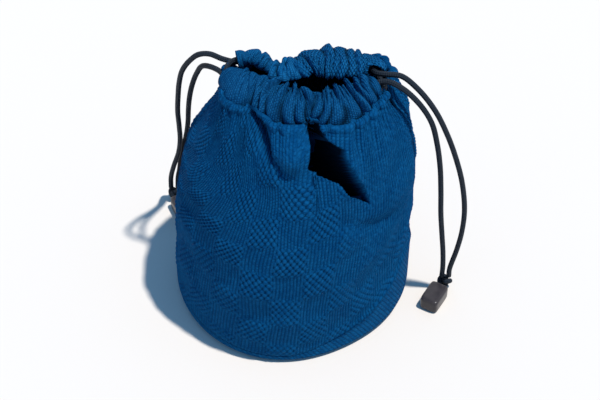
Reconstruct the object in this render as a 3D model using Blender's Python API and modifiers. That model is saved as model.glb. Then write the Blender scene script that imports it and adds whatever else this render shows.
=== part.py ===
"""Drawstring pouch with a round base, gathered shut and standing. Metres, +Z up.

The origin is the middle of the base's underside, and the front faces -Y. An angle round the pouch is
0 at the front and grows towards +X. The wall is two cloth panels sewn to a round base and gathered
into two open-ended casings, and two cords run through both casings, one tied on each side.
"""

import math

import bmesh
import bpy
import numpy as np
from mathutils import Matrix, Vector

# Base
BASE_RADIUS = 0.0695
BASE_FLAT_RADIUS = 0.0630
BASE_SEAM_FRONT = 0.0060
BASE_SEAM_BACK = 0.0100
BASE_SEAM_SIDE = 0.0120
BASE_LIP = 0.0020
BASE_FRONT_FLAT = 0.0055

# Cloth
WALL_CLOTH = 0.0016
BASE_CLOTH = 0.0016
CASING_CLOTH = 0.0012
SEAM_GAP = 0.0005
SIDE_SEAM_GAP = 0.0014
WEAVE_SQUARE = 0.0183
WEAVE_RELIEF = 0.0009
SLIT_DEPTH = 0.0240

# Mouth
CASING_SEAM_HEIGHT = 0.1500
MOUTH_HALF_LENGTH = 0.0400
CASING_WIDTH = 0.0200
CASING_OUTER_BULGE = 0.0050
CASING_INNER_BULGE = 0.0029
CASING_END_BULGE = 0.0052
PLEATS = 16
PLEAT_DEPTH = 0.0019
TUCK = 0.0032
WELT = 0.0011
PINCH_SLACK = 0.0016
PINCH_ANGLE = 11.5

# Folds
HOLLOW_DEPTH = 0.0185
HOLLOW_DROP = 0.0120
LOBE_BULGE = 0.0040
CREASE_DEPTH = 0.0050
SIDE_CREASE_DEPTH = 0.0020
SHOULDER_BULGE = 0.0030
BACK_CREASE_DEPTH = 0.0060

# Cords and what hangs on them
CORD_DIAMETER = 0.0030
CORD_CLEARANCE = 0.0003
CORD_LANES_APART = 0.0037
CORD_STEP = 0.0090
CORD_BEND_STEP = 0.0036
CORD_SAG = 0.00017
KNOT_RADIUS = 0.0046
KNOT_HALF_LENGTH = 0.0050
BEAD_LENGTH = 0.0170
BEAD_WIDTH = 0.0112
BEAD_THICKNESS = 0.0094
BEAD_ROUNDING = 0.0022
BEAD_BORE_RADIUS = 0.0026
BEAD_BORE_DEPTH = 0.0050

# Mesh density
PANEL_COLUMNS = 44
PANEL_ROWS = 13
CASING_STATIONS = 64
CASING_SIDES = 10
BASE_SEGMENTS = 40

MOUTH_UNIT = MOUTH_HALF_LENGTH / 40
RISE_UNIT = CASING_WIDTH / 20

# The gathered casings: an angle, then the sewn lower edge and the drawn rim there. Across they are in
# fortieths of the mouth's half length, and upwards in twentieths of the casing's width from its seam.
FRONT_GATHER = (
    (-107, (-38.0, 2.5, -2.0), (-32.5, 4.5, 8.5)),
    (-84, (-36.5, -4.0, -3.0), (-28.5, 3.0, 8.5)),
    (-51, (-30.5, -12.5, -4.0), (-22.5, 1.5, 9.0)),
    (-30, (-20.0, -15.5, -4.5), (-16.0, -3.0, 9.0)),
    (-17.5, (-12.0, -22.5, -5.0), (-10.0, -8.5, 9.5)),
    (-3, (-2.0, -27.5, -5.0), (-3.0, -11.0, 9.5)),
    (5.5, (4.5, -25.5, -5.0), (3.0, -13.0, 9.0)),
    (11.5, (9.5, -21.5, -4.5), (8.0, -13.5, 9.0)),
    (18, (15.0, -25.0, -5.0), (13.0, -13.5, 9.0)),
    (27, (22.0, -27.5, -5.0), (20.0, -12.5, 9.5)),
    (43.5, (33.0, -22.0, -4.5), (28.0, -8.5, 9.5)),
    (58.5, (41.0, -14.0, -3.0), (34.0, -5.0, 10.0)),
    (76, (45.0, -8.0, -1.0), (40.0, -3.5, 8.5)),
)
BACK_GATHER = (
    (76, (46.5, 6.0, 0.0), (38.5, 6.0, 9.0)),
    (96, (48.0, 11.5, 0.5), (36.5, 3.5, 9.5)),
    (116, (43.0, 17.5, 1.5), (33.0, 1.0, 9.5)),
    (131, (35.0, 20.0, 3.5), (28.0, -1.0, 9.0)),
    (145, (27.0, 22.0, 4.5), (21.0, -2.0, 9.0)),
    (158, (18.0, 22.5, 5.0), (14.0, -2.0, 9.0)),
    (170, (9.0, 19.5, 4.5), (7.5, -3.0, 9.0)),
    (180, (1.0, 14.0, 3.5), (1.0, -6.0, 9.5)),
    (188, (-6.0, 11.5, 3.5), (-5.0, -7.0, 9.5)),
    (197, (-13.0, 14.0, 3.5), (-12.0, -0.5, 9.5)),
    (211, (-20.5, 18.0, 3.5), (-19.0, 5.5, 10.0)),
    (230, (-27.5, 18.0, 2.0), (-24.0, 9.0, 10.5)),
    (253, (-32.0, 15.5, 0.5), (-28.0, 10.5, 11.0)),
)

# How far the wall has drawn in from the base seam (0) to the casing seam (1): a share of the height,
# then the left, right, front and back.
WALL_SHAPE = (
    (0.00, 0.00, 0.07, 0.000, 0.000),
    (0.22, 0.05, 0.18, 0.000, -0.010),
    (0.36, 0.12, 0.17, 0.060, 0.010),
    (0.50, 0.16, 0.10, 0.143, 0.062),
    (0.64, 0.35, 0.14, 0.262, 0.165),
    (0.78, 0.67, 0.41, 0.430, 0.320),
    (0.87, 0.84, 0.64, 0.597, 0.510),
    (0.94, 0.94, 0.85, 0.776, 0.710),
    (1.00, 1.00, 1.00, 1.000, 1.000),
)

# Where each cord lies outside the casings, from its knot up and from the other exit down again, in metres.
RIGHT_OUTER_STRAND = (
    (0.0912, -0.0105, 0.0180),
    (0.0940, -0.0120, 0.0370),
    (0.0955, -0.0125, 0.0520),
    (0.0955, -0.0125, 0.0690),
    (0.0925, -0.0125, 0.0900),
    (0.0875, -0.0125, 0.1090),
    (0.0815, -0.0120, 0.1260),
    (0.0740, -0.0110, 0.1420),
    (0.0650, -0.0080, 0.1535),
    (0.0560, -0.0035, 0.1590),
    (0.0480, -0.0008, 0.1580),
    (0.0432, 0.0018, 0.1568),
)
RIGHT_INNER_STRAND = (
    (0.0480, -0.0050, 0.1568),
    (0.0560, -0.0088, 0.1555),
    (0.0650, -0.0120, 0.1480),
    (0.0725, -0.0125, 0.1350),
    (0.0765, -0.0125, 0.1200),
    (0.0795, -0.0125, 0.1020),
    (0.0812, -0.0125, 0.0840),
    (0.0825, -0.0125, 0.0660),
    (0.0845, -0.0120, 0.0480),
    (0.0862, -0.0110, 0.0330),
    (0.0872, -0.0098, 0.0190),
)
LEFT_OUTER_STRAND = (
    (-0.0762, 0.0650, 0.0190),
    (-0.0735, 0.0602, 0.0330),
    (-0.0692, 0.0550, 0.0500),
    (-0.0672, 0.0500, 0.0650),
    (-0.0666, 0.0447, 0.0800),
    (-0.0662, 0.0390, 0.0970),
    (-0.0648, 0.0335, 0.1130),
    (-0.0630, 0.0280, 0.1280),
    (-0.0605, 0.0235, 0.1400),
    (-0.0560, 0.0195, 0.1500),
    (-0.0505, 0.0165, 0.1570),
    (-0.0445, 0.0145, 0.1590),
    (-0.0375, 0.0137, 0.1562),
)
LEFT_INNER_STRAND = (
    (-0.0387, 0.0078, 0.1523),
    (-0.0430, 0.0118, 0.1520),
    (-0.0488, 0.0185, 0.1475),
    (-0.0528, 0.0250, 0.1370),
    (-0.0560, 0.0300, 0.1250),
    (-0.0584, 0.0350, 0.1120),
    (-0.0602, 0.0410, 0.0970),
    (-0.0614, 0.0465, 0.0830),
    (-0.0632, 0.0515, 0.0690),
    (-0.0660, 0.0560, 0.0540),
    (-0.0688, 0.0615, 0.0390),
    (-0.0706, 0.0648, 0.0260),
    (-0.0720, 0.0662, 0.0180),
)
# Where each cord turns from the back casing's far end into the front casing's.
LEFT_TURN = (
    (-0.0327, 0.0114, 0.1566),
    (-0.0347, 0.0093, 0.1560),
    (-0.0354, 0.0065, 0.1553),
)
RIGHT_TURN = (
    (0.0456, 0.0024, 0.1514),
    (0.0476, -0.0012, 0.1506),
    (0.0464, -0.0048, 0.1509),
)
RIGHT_BEAD_CENTRE = (0.0824, -0.0207)
RIGHT_BEAD_TURN = 239.8
LEFT_BEAD_CENTRE = (-0.0690, 0.0530)
LEFT_BEAD_TURN = 293.8

CLOTH_BLUE = (0.0045, 0.046, 0.135, 1)
CASING_BLUE = (0.0070, 0.056, 0.150, 1)
BASE_BLUE = (0.0035, 0.040, 0.120, 1)
CORD_CHARCOAL = (0.018, 0.023, 0.030, 1)
BEAD_BROWN = (0.030, 0.027, 0.028, 1)


def clear_scene():
    for obj in list(bpy.data.objects):
        bpy.data.objects.remove(obj, do_unlink=True)


def through(at, knots, values):
    """A smooth curve through the values at the knots: cubics whose slopes are the neighbours' chords."""
    knots = np.asarray(knots, float)
    values = np.asarray(values, float)
    slopes = np.gradient(values, knots, axis=0)
    at = np.clip(np.asarray(at, float), knots[0], knots[-1])
    i = np.clip(np.searchsorted(knots, at) - 1, 0, len(knots) - 2)
    span = knots[i + 1] - knots[i]
    t = (at - knots[i]) / span
    if values.ndim > 1:
        span, t = span[..., None], t[..., None]
    return (
        values[i] * (1 + 2 * t) * (1 - t) ** 2
        + slopes[i] * span * t * (1 - t) ** 2
        + values[i + 1] * t**2 * (3 - 2 * t)
        + slopes[i + 1] * span * t**2 * (t - 1)
    )


def ease(value, low, high):
    """0 below low, 1 above high, with a smooth step between them."""
    t = np.clip((value - low) / (high - low), 0, 1)
    return t * t * (3 - 2 * t)


def bell(value, middle, width):
    return np.exp(-(((value - middle) / width) ** 2))


def unit(vectors):
    return vectors / np.maximum(np.linalg.norm(vectors, axis=-1, keepdims=True), 1e-12)


def material(name, colour, roughness):
    made = bpy.data.materials.new(name)
    made.use_nodes = True
    shader = made.node_tree.nodes["Principled BSDF"]
    shader.inputs["Base Color"].default_value = colour
    shader.inputs["Roughness"].default_value = roughness
    shader.inputs["Metallic"].default_value = 0.0
    made.diffuse_color = colour
    return made


def add_object(name, data, surface, collection):
    obj = bpy.data.objects.new(name, data)
    data.materials.append(surface)
    collection.objects.link(obj)
    return obj


def lofted(name, grid, closed_round=False):
    """A mesh over a grid of points, one row after another, its faces pointing along row x column."""
    rows, columns = grid.shape[:2]
    mesh = bpy.data.meshes.new(name)
    index = np.arange(rows * columns).reshape(rows, columns)
    if closed_round:
        index = np.concatenate([index, index[:, :1]], axis=1)
    faces = np.stack([index[:-1, :-1], index[:-1, 1:], index[1:, 1:], index[1:, :-1]], axis=-1).reshape(-1, 4)
    mesh.from_pydata(grid.reshape(-1, 3).tolist(), [], faces.tolist())
    mesh.update()
    mesh.shade_smooth()
    return mesh


def give_thickness(obj, thickness):
    """The drawn surface stays the outer one, and the cloth is added inside it."""
    wall = obj.modifiers.new("cloth", "SOLIDIFY")
    wall.thickness = thickness
    wall.offset = -1
    wall.use_even_offset = False


def shares_along(points):
    steps = np.linalg.norm(np.diff(points, axis=0), axis=1)
    total = np.concatenate([[0], np.cumsum(steps)])
    return total / total[-1]


def casing_edges(gather, angles):
    """The casing's sewn lower edge and its drawn rim."""
    knots = [row[0] for row in gather]
    unit_sizes = np.array([MOUTH_UNIT, MOUTH_UNIT, RISE_UNIT])
    lift = np.array([0, 0, CASING_SEAM_HEIGHT])
    return [through(angles, knots, np.array([row[k] for row in gather]) * unit_sizes) + lift for k in (1, 2)]


def even_angles(gather, count):
    """Angles at which the casing's centre line is cut into even lengths."""
    fine = np.linspace(gather[0][0], gather[-1][0], 600)
    share = shares_along(sum(casing_edges(gather, fine)) / 2)
    return np.interp(np.linspace(0, 1, count), share, fine)


def casing_frame(gather, angles):
    """The casing's centre line, its seam-to-rim and outward directions, and its sizes: half its width, and
    half its thickness outside and inside the centre line, which is rounder at its open ends."""
    at = even_angles(gather, CASING_STATIONS + 1)
    seam, rim = casing_edges(gather, at)
    middle = (seam + rim) / 2
    along = unit(np.gradient(middle, axis=0))
    across = rim - seam
    across -= (across * along).sum(axis=1, keepdims=True) * along
    half_width = np.linalg.norm(across, axis=1)[:, None] / 2
    across = unit(across)
    outward = unit(np.cross(along, across))
    share = shares_along(middle)[:, None]
    end = 1 - ease(share, 0.0, 0.12) * ease(1 - share, 0.0, 0.12)
    outer = CASING_OUTER_BULGE + (CASING_END_BULGE - CASING_OUTER_BULGE) * end
    inner = CASING_INNER_BULGE + (CASING_END_BULGE - CASING_INNER_BULGE) * end
    placed = through(angles, at, np.hstack([middle, across, outward, half_width, outer, inner]))
    return placed[:, :3], unit(placed[:, 3:6]), unit(placed[:, 6:9]), placed[:, 9:].T


def casing(name, gather, surface, collection):
    angles = even_angles(gather, CASING_STATIONS + 1)
    middle, across, outward, (half_width, outer, inner) = casing_frame(gather, angles)
    share = shares_along(middle)
    turn = np.linspace(0, 2 * math.pi, CASING_SIDES, endpoint=False)
    rise, out = -np.cos(turn), np.sin(turn)
    thick = np.where(out[None, :] > 0, outer[:, None], inner[:, None])
    # Pleats stand out most along the drawn rim and die away towards the seam and the open ends.
    wave = 0.5 + 0.5 * np.cos(2 * math.pi * PLEATS * share + 0.9 * np.sin(9 * share))
    inside_ends = ease(share, 0.0, 0.06) * ease(1 - share, 0.0, 0.06)
    depth = PLEAT_DEPTH * (wave * inside_ends)[:, None] * (0.25 + 0.75 * ease(rise, -0.7, 0.6))[None, :]
    push = unit(np.stack([rise[None, :] / half_width[:, None], out[None, :] / thick], axis=-1))
    rise_by = half_width[:, None] * rise[None, :] + depth * push[..., 0]
    out_by = thick * out[None, :] + depth * push[..., 1]
    grid = middle[:, None] + rise_by[..., None] * across[:, None] + out_by[..., None] * outward[:, None]
    mesh = lofted(name, grid[:, ::-1], closed_round=True)
    obj = add_object(name, mesh, surface, collection)
    give_thickness(obj, CASING_CLOTH)
    return obj


def lapped_side(gather, angles):
    """Which side of the casing's lower edge the panel is sewn to: 1 outside, -1 under it, at the back."""
    if gather is FRONT_GATHER:
        return np.ones_like(angles)
    return 1 - 2 * ease(angles, 104, 138) + 2 * ease(angles, 222, 253)


def seam_line(gather, angles):
    """The panel's top edge: a point on the casing's oval section near its lower edge, and a seam gap off it."""
    middle, across, outward, (half_width, outer, inner) = casing_frame(gather, angles)
    side = lapped_side(gather, angles)
    thick = np.where(side > 0, outer, inner)
    turn = side * np.arccos(np.clip(1 - TUCK / half_width, 0, 1))
    off = SEAM_GAP + 0.25 * PLEAT_DEPTH + WALL_CLOTH * np.clip(side, 0, 1)
    off = off + PINCH_SLACK * bell(angles, PINCH_ANGLE, 6)
    away = unit(np.stack([np.cos(turn) / half_width, np.sin(turn) / thick], axis=-1))
    down = half_width * np.cos(turn) + off * away[:, 0]
    out = thick * np.sin(turn) + off * away[:, 1]
    return middle - down[:, None] * across + out[:, None] * outward


def side_seam_shift(gather, angles, top):
    """What moves each top corner to the middle between the two panels' corners, fading away from it."""
    other = BACK_GATHER if gather is FRONT_GATHER else FRONT_GATHER
    far = seam_line(other, even_angles(other, CASING_STATIONS + 1))
    first, last = (far[-1], far[0])
    start = (1 - ease(angles, angles[0], angles[0] + 34))[:, None] * (first - top[0]) / 2
    end = ease(angles, angles[-1] - 34, angles[-1])[:, None] * (last - top[-1]) / 2
    return start + end


def base_seam_height(angle):
    """Height of the base seam: low at the front, where the wall hangs over it."""
    turn = np.radians(angle)
    front, back = np.clip(np.cos(turn), 0, 1) ** 2, np.clip(-np.cos(turn), 0, 1) ** 2
    side = np.sin(turn) ** 2
    return BASE_SEAM_FRONT * front + BASE_SEAM_BACK * back + BASE_SEAM_SIDE * side


def front_flat(angle):
    """How far the round base is pushed in at the front right, where the pouch has settled."""
    return BASE_FRONT_FLAT * bell(angle, 28, 38)


def folds(angle, share):
    """How far the cloth is drawn in and let down by its folds, in metres."""
    # The deep hollow between the two front lobes, a triangle above a slanting ledge.
    ledge = 0.845 - 0.0046 * (angle - 9)
    left_edge = 7.5
    right_edge = through(share, [0.70, 0.76, 0.82, 0.87, 0.91, 0.95, 1.0], [43, 39, 33, 27, 21, 17, 15.5])
    hollow = (
        ease(angle, left_edge - 2, left_edge + 4)
        * (1 - ease(angle, right_edge - 4, right_edge + 3))
        * ease(share, ledge - 0.005, ledge + 0.045)
    )
    hollow *= ease(1 - share, 0.02, 0.085)
    drop = hollow * (1 - ease(share, 0.88, 1.0))
    crease_line = -30 + (1 - share) * 155
    crease = np.exp(-(((angle - crease_line) / 4.5) ** 2)) * ease(share, 0.84, 0.93)
    lobe = bell(angle, -3, 9) * bell(share, 0.925, 0.055)
    side = bell(share, 0.50 + 0.0008 * (angle - 45), 0.028) * ease(angle, 25, 45) * (1 - ease(angle, 70, 95))
    shoulder = bell(angle, 128, 28) * bell(share, 0.86, 0.13)
    back = bell(angle, 185, 9) * ease(share, 0.78, 0.97)
    drawn_in = (
        HOLLOW_DEPTH * hollow
        + CREASE_DEPTH * crease
        - LOBE_BULGE * lobe
        + SIDE_CREASE_DEPTH * side
        - SHOULDER_BULGE * shoulder
        + BACK_CREASE_DEPTH * back
    )
    return drawn_in, HOLLOW_DROP * drop


def wall_points(gather, angles, shares):
    """The outer surface of the wall, one row for each share of the height from the base seam up."""
    turn = np.radians(angles)[None, :]
    share = shares[:, None]
    table = np.array(WALL_SHAPE)
    drawn = through(shares, table[:, 0], table[:, 1:])
    middle = casing_frame(FRONT_GATHER, np.array([row[0] for row in FRONT_GATHER], float))[0]
    behind = casing_frame(BACK_GATHER, np.array([row[0] for row in BACK_GATHER], float))[0]
    ends = np.array([-middle[:, 0].min(), middle[:, 0].max(), -middle[:, 1].min(), behind[:, 1].max()])
    ends += CASING_WIDTH * np.array([0.30, 0.30, 0.42, 0.45])
    reach = BASE_RADIUS + (ends - BASE_RADIUS) * drawn
    left, right, front, back = (column[:, None] for column in reach.T)
    wide = np.where(np.sin(turn) < 0, left, right)
    deep = np.where(np.cos(turn) > 0, front, back)
    low = base_seam_height(angles)[None, :]
    top = seam_line(gather, angles)
    sewn = top + side_seam_shift(gather, angles, top)
    height = low + (sewn[None, :, 2] - low) * share
    points = np.stack([wide * np.sin(turn), -deep * np.cos(turn), height], axis=-1)
    # The highest part closes in on the line where the panel is sewn to the casing, and its two sides
    # part from the other panel's only above the foot of the slit.
    closing = ease(share, 0.55, 1.0)[..., None]
    slit = ease(share, 1 - SLIT_DEPTH / CASING_SEAM_HEIGHT, 1.0)[..., None]
    points = points + closing * (sewn[None] - points[-1:]) + slit * (top - sewn)[None]
    inward, down = folds(angles[None, :], share)
    loose = ease(1 - share, 0.0, 0.05)
    radial = np.stack([np.sin(turn), -np.cos(turn), np.zeros_like(turn)], axis=-1)
    inward = inward * loose + front_flat(angles)[None, :] * (1 - ease(share, 0.05, 0.6))
    points -= inward[..., None] * radial
    points[..., 2] -= down
    return points


def surface_normals(points):
    up = np.gradient(points, axis=0)
    round_it = np.gradient(points, axis=1)
    return unit(np.cross(round_it, up))


def woven(points, angles, lapped):
    """The cloth's raised and sunk squares, a checkerboard measured along the surface, and its top welt."""
    normals = surface_normals(points)
    climb = np.linalg.norm(np.diff(points, axis=0), axis=2)
    height = np.concatenate([np.zeros((1, points.shape[1])), np.cumsum(climb, axis=0)])
    across = np.radians(angles)[None, :] * BASE_RADIUS / WEAVE_SQUARE
    up = height / WEAVE_SQUARE
    wave = np.sin(math.pi * across) * np.sin(math.pi * up)
    squares = np.clip(wave * 2.5, -1, 1)
    edges = ease(height, 0.0, 0.25 * WEAVE_SQUARE) * ease(height[-1:] - height, 0.0, 0.25 * WEAVE_SQUARE)
    welt = 1 - ease(height[-1:] - height, 0.5 * TUCK, 1.6 * TUCK)
    welt = welt * np.clip(lapped, 0, 1)[None, :]
    return points + (0.5 * WEAVE_RELIEF * squares * edges + WELT * welt)[..., None] * normals


def panel_angles(gather):
    """Column angles across a panel, closer together where the cloth is folded deepest."""
    fine = np.linspace(gather[0][0], gather[-1][0], 900)
    weight = 1 + 1.7 * bell(fine, 17, 22) + 1.6 * bell(fine, 11, 6) + 0.7 * bell(fine, 188, 14)
    total = np.cumsum(weight)
    return np.interp(np.linspace(total[0], total[-1], PANEL_COLUMNS + 1), total, fine)


def panel(name, gather, surface, collection):
    angles = panel_angles(gather)
    # The panels stop short of each other, and of the base, by the gap that their seams leave.
    sideways = np.degrees(SIDE_SEAM_GAP / 2 / BASE_RADIUS)
    angles[0] += sideways
    angles[-1] -= sideways
    shares = np.linspace(0, 1, PANEL_ROWS + 1) ** 0.85
    points = wall_points(gather, angles, shares)
    mesh = lofted(name, woven(points, angles, lapped_side(gather, angles)))
    obj = add_object(name, mesh, surface, collection)
    give_thickness(obj, WALL_CLOTH)
    return obj


def base_panel(surface, collection):
    """A round cloth dish: flat underneath, turned up round its edge to the base seam."""
    angles = np.linspace(0, 360, BASE_SEGMENTS, endpoint=False)
    turn = np.radians(angles)
    wide = np.where(np.sin(turn) < 0, 1.0, 0.0)
    table = np.array(WALL_SHAPE)[0]
    mouth = np.array([row[1][0] for row in FRONT_GATHER]) * MOUTH_UNIT
    right = BASE_RADIUS + (mouth.max() + 0.15 * CASING_WIDTH - BASE_RADIUS) * table[2]
    reach = np.where(wide > 0, BASE_RADIUS, right)
    seam = base_seam_height(angles) - SEAM_GAP
    pushed = front_flat(np.where(angles > 180, angles - 360, angles))
    grid = []
    for share in (0.5, 1.0):
        radius = BASE_FLAT_RADIUS * share - pushed
        grid.append(np.stack([radius * np.sin(turn), -radius * np.cos(turn), np.zeros_like(turn)], axis=-1))
    for corner, rise in ((0.45, 0.0), (1.0, 0.0), (1.0, 1.0)):
        swing = corner * math.pi / 2
        sideways = BASE_FLAT_RADIUS + (reach - BASE_FLAT_RADIUS) * math.sin(swing)
        deep = BASE_FLAT_RADIUS + (BASE_RADIUS - BASE_FLAT_RADIUS) * math.sin(swing)
        height = (seam - BASE_LIP) * (1 - math.cos(swing)) + BASE_LIP * rise
        grid.append(np.stack([(sideways - pushed) * np.sin(turn), -(deep - pushed) * np.cos(turn), height], axis=-1))
    mesh = lofted("base_panel", np.array(grid), closed_round=True)
    work = bmesh.new()
    work.from_mesh(mesh)
    work.verts.ensure_lookup_table()
    bmesh.ops.contextual_create(work, geom=[e for e in work.edges if e.is_boundary and e.verts[0].co.z < 1e-6])
    bmesh.ops.recalc_face_normals(work, faces=work.faces)
    middle_face = min(work.faces, key=lambda face: face.calc_center_median().length)
    if middle_face.normal.z > 0:
        bmesh.ops.reverse_faces(work, faces=work.faces)
    work.to_mesh(mesh)
    work.free()
    obj = add_object("base_panel", mesh, surface, collection)
    give_thickness(obj, BASE_CLOTH)
    return obj


def inside_casing(gather, side, reverse):
    """The stretch of a cord in a casing. The two cords lie side by side, one towards the rim."""
    angles = even_angles(gather, CASING_STATIONS + 1)
    middle, across, outward, (_, outer, inner) = casing_frame(gather, angles)
    lane = side * CORD_LANES_APART / 2
    line = (middle + lane * across + ((outer - inner) / 2)[:, None] * outward)[::4]
    return line[::-1] if reverse else line


def bead_frame(centre, turn):
    """The bead's middle and the direction from its knot end to its free end."""
    way = Vector((math.cos(math.radians(turn)), math.sin(math.radians(turn)), 0))
    return Vector((*centre, BEAD_THICKNESS / 2)), way


def knot_centre(centre, turn):
    middle, way = bead_frame(centre, turn)
    place = middle - way * (BEAD_LENGTH / 2 + SEAM_GAP + KNOT_HALF_LENGTH)
    return Vector((place.x, place.y, KNOT_RADIUS + SEAM_GAP))


def strand_ends(centre, turn, outside):
    """Where the two strands of a cord meet their knot, side by side on top of it."""
    top = knot_centre(centre, turn)
    half_apart = 0.5 * CORD_DIAMETER + 2 * CORD_CLEARANCE
    height = top.z + KNOT_RADIUS + CORD_CLEARANCE
    first = (top.x + outside * half_apart, top.y, height)
    second = (top.x - outside * half_apart, top.y, height)
    return first, second


def drawcord(name, parts, surface, collection):
    """One cord on a smooth curve through its route's points, as a round tube."""
    route = np.concatenate([np.atleast_2d(np.array(part, float)) for part in parts])
    chords = np.linalg.norm(np.diff(route, axis=0), axis=1)
    knots = np.concatenate([[0], np.cumsum(np.sqrt(chords))])
    fine = through(np.linspace(0, knots[-1], 3000), knots, route)
    steps = np.linalg.norm(np.diff(fine, axis=0), axis=1)
    turning = np.linalg.norm(np.gradient(unit(np.diff(fine, axis=0)), axis=0), axis=1) / steps
    turning = np.convolve(turning, np.full(25, 1 / 25), mode="same")
    # Points stand closer together where the cord bends, so that no straight run cuts a bend short.
    step = np.clip(np.sqrt(8 * CORD_SAG / np.maximum(turning, 1e-6)), CORD_BEND_STEP, CORD_STEP)
    passed = np.concatenate([[0], np.cumsum(steps / step)])
    count = int(round(passed[-1])) + 1
    at = np.linspace(0, passed[-1], count)
    line = np.stack([np.interp(at, passed, fine[:, k]) for k in range(3)], axis=1)
    curve = bpy.data.curves.new(name, "CURVE")
    curve.dimensions = "3D"
    curve.bevel_depth = CORD_DIAMETER / 2
    curve.bevel_resolution = 2
    curve.use_fill_caps = True
    spline = curve.splines.new("POLY")
    spline.points.add(count - 1)
    spline.points.foreach_set("co", np.concatenate([line, np.ones((count, 1))], axis=1).ravel())
    return add_object(name, curve, surface, collection)


def knot(name, centre, turn, surface, collection):
    """The overhand knot that ties a cord's two ends: a body with two slanting wraps round it."""
    place = knot_centre(centre, turn)
    way = bead_frame(centre, turn)[1]
    side = Vector((-way.y, way.x, 0))
    turns = np.linspace(0, 2 * math.pi, 16, endpoint=False)
    tilts = np.linspace(0, math.pi, 9)[1:-1]
    around, along = np.meshgrid(turns, tilts)
    wraps = 1 + 0.10 * np.cos(5.5 * (along - math.pi / 2) + 0.9 * np.sin(around))
    radial = KNOT_RADIUS * np.sin(along) ** 0.7 * wraps / 1.10
    end = KNOT_HALF_LENGTH * np.cos(along)
    local = np.stack([end, radial * np.cos(around), radial * np.sin(around)], axis=-1)
    frame = np.array([way, side, Vector((0, 0, 1))])
    grid = local @ frame + np.array(place)
    mesh = lofted(name, grid, closed_round=True)
    work = bmesh.new()
    work.from_mesh(mesh)
    bmesh.ops.holes_fill(work, edges=work.edges, sides=0)
    bmesh.ops.recalc_face_normals(work, faces=work.faces)
    work.to_mesh(mesh)
    work.free()
    return add_object(name, mesh, surface, collection)


def bead(name, centre, turn, surface, collection, helpers):
    """A rounded block with a bore in its knot end, where the cord's ends go in."""
    middle, way = bead_frame(centre, turn)
    mesh = bpy.data.meshes.new(name)
    work = bmesh.new()
    bmesh.ops.create_cube(work, size=1.0, matrix=Matrix.Diagonal((BEAD_LENGTH, BEAD_WIDTH, BEAD_THICKNESS, 1)))
    work.to_mesh(mesh)
    work.free()
    obj = add_object(name, mesh, surface, collection)
    obj.location = middle
    obj.rotation_euler = (0, 0, math.atan2(way.y, way.x))
    rounding = obj.modifiers.new("rounding", "BEVEL")
    rounding.width = BEAD_ROUNDING
    rounding.segments = 2
    hole = bpy.data.meshes.new(name + "_bore")
    work = bmesh.new()
    lie_down = Matrix.Translation((-BEAD_LENGTH / 2, 0, 0)) @ Matrix.Rotation(math.pi / 2, 4, "Y")
    bmesh.ops.create_cone(
        work,
        cap_ends=True,
        segments=12,
        radius1=BEAD_BORE_RADIUS,
        radius2=BEAD_BORE_RADIUS,
        depth=2 * BEAD_BORE_DEPTH,
        matrix=lie_down,
    )
    work.to_mesh(hole)
    work.free()
    cutter = bpy.data.objects.new(name + "_bore", hole)
    helpers.objects.link(cutter)
    cutter.location = obj.location
    cutter.rotation_euler = obj.rotation_euler
    cutter.hide_render = True
    cutter.display_type = "WIRE"
    bore = obj.modifiers.new("bore", "BOOLEAN")
    bore.object = cutter
    bore.operation = "DIFFERENCE"
    return obj


def main():
    clear_scene()
    pouch = bpy.data.collections.new("drawstring_pouch")
    helpers = bpy.data.collections.new("cutters")
    bpy.context.scene.collection.children.link(pouch)
    bpy.context.scene.collection.children.link(helpers)

    cloth = material("indigo_wall_cloth", CLOTH_BLUE, 0.85)
    casing_cloth = material("indigo_casing_cloth", CASING_BLUE, 0.85)
    base_cloth = material("indigo_base_cloth", BASE_BLUE, 0.85)
    cord = material("charcoal_cord", CORD_CHARCOAL, 0.55)
    block = material("dark_bead", BEAD_BROWN, 0.35)

    base_panel(base_cloth, pouch)
    panel("front_panel", FRONT_GATHER, cloth, pouch)
    panel("back_panel", BACK_GATHER, cloth, pouch)
    casing("front_casing", FRONT_GATHER, casing_cloth, pouch)
    casing("back_casing", BACK_GATHER, casing_cloth, pouch)

    first, last = strand_ends(RIGHT_BEAD_CENTRE, RIGHT_BEAD_TURN, 1)
    drawcord(
        "right_drawcord",
        (
            first,
            RIGHT_OUTER_STRAND,
            inside_casing(BACK_GATHER, 1, False),
            LEFT_TURN,
            inside_casing(FRONT_GATHER, 1, False),
            RIGHT_INNER_STRAND,
            last,
        ),
        cord,
        pouch,
    )
    first, last = strand_ends(LEFT_BEAD_CENTRE, LEFT_BEAD_TURN, -1)
    drawcord(
        "left_drawcord",
        (
            first,
            LEFT_OUTER_STRAND,
            inside_casing(BACK_GATHER, -1, True),
            RIGHT_TURN,
            inside_casing(FRONT_GATHER, -1, True),
            LEFT_INNER_STRAND,
            last,
        ),
        cord,
        pouch,
    )
    for side, centre, turn in (
        ("right", RIGHT_BEAD_CENTRE, RIGHT_BEAD_TURN),
        ("left", LEFT_BEAD_CENTRE, LEFT_BEAD_TURN),
    ):
        knot(side + "_knot", centre, turn, cord, pouch)
        bead(side + "_bead", centre, turn, block, pouch, helpers)


main()
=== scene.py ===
# Kinchaku drawstring pouch: indigo checked cloth, two gathered casings, two waxed cords, two dark beads.
# Metres, +Z up, front towards -Y. An angle round the pouch is 0 at the front and grows towards +X.
import math

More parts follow.
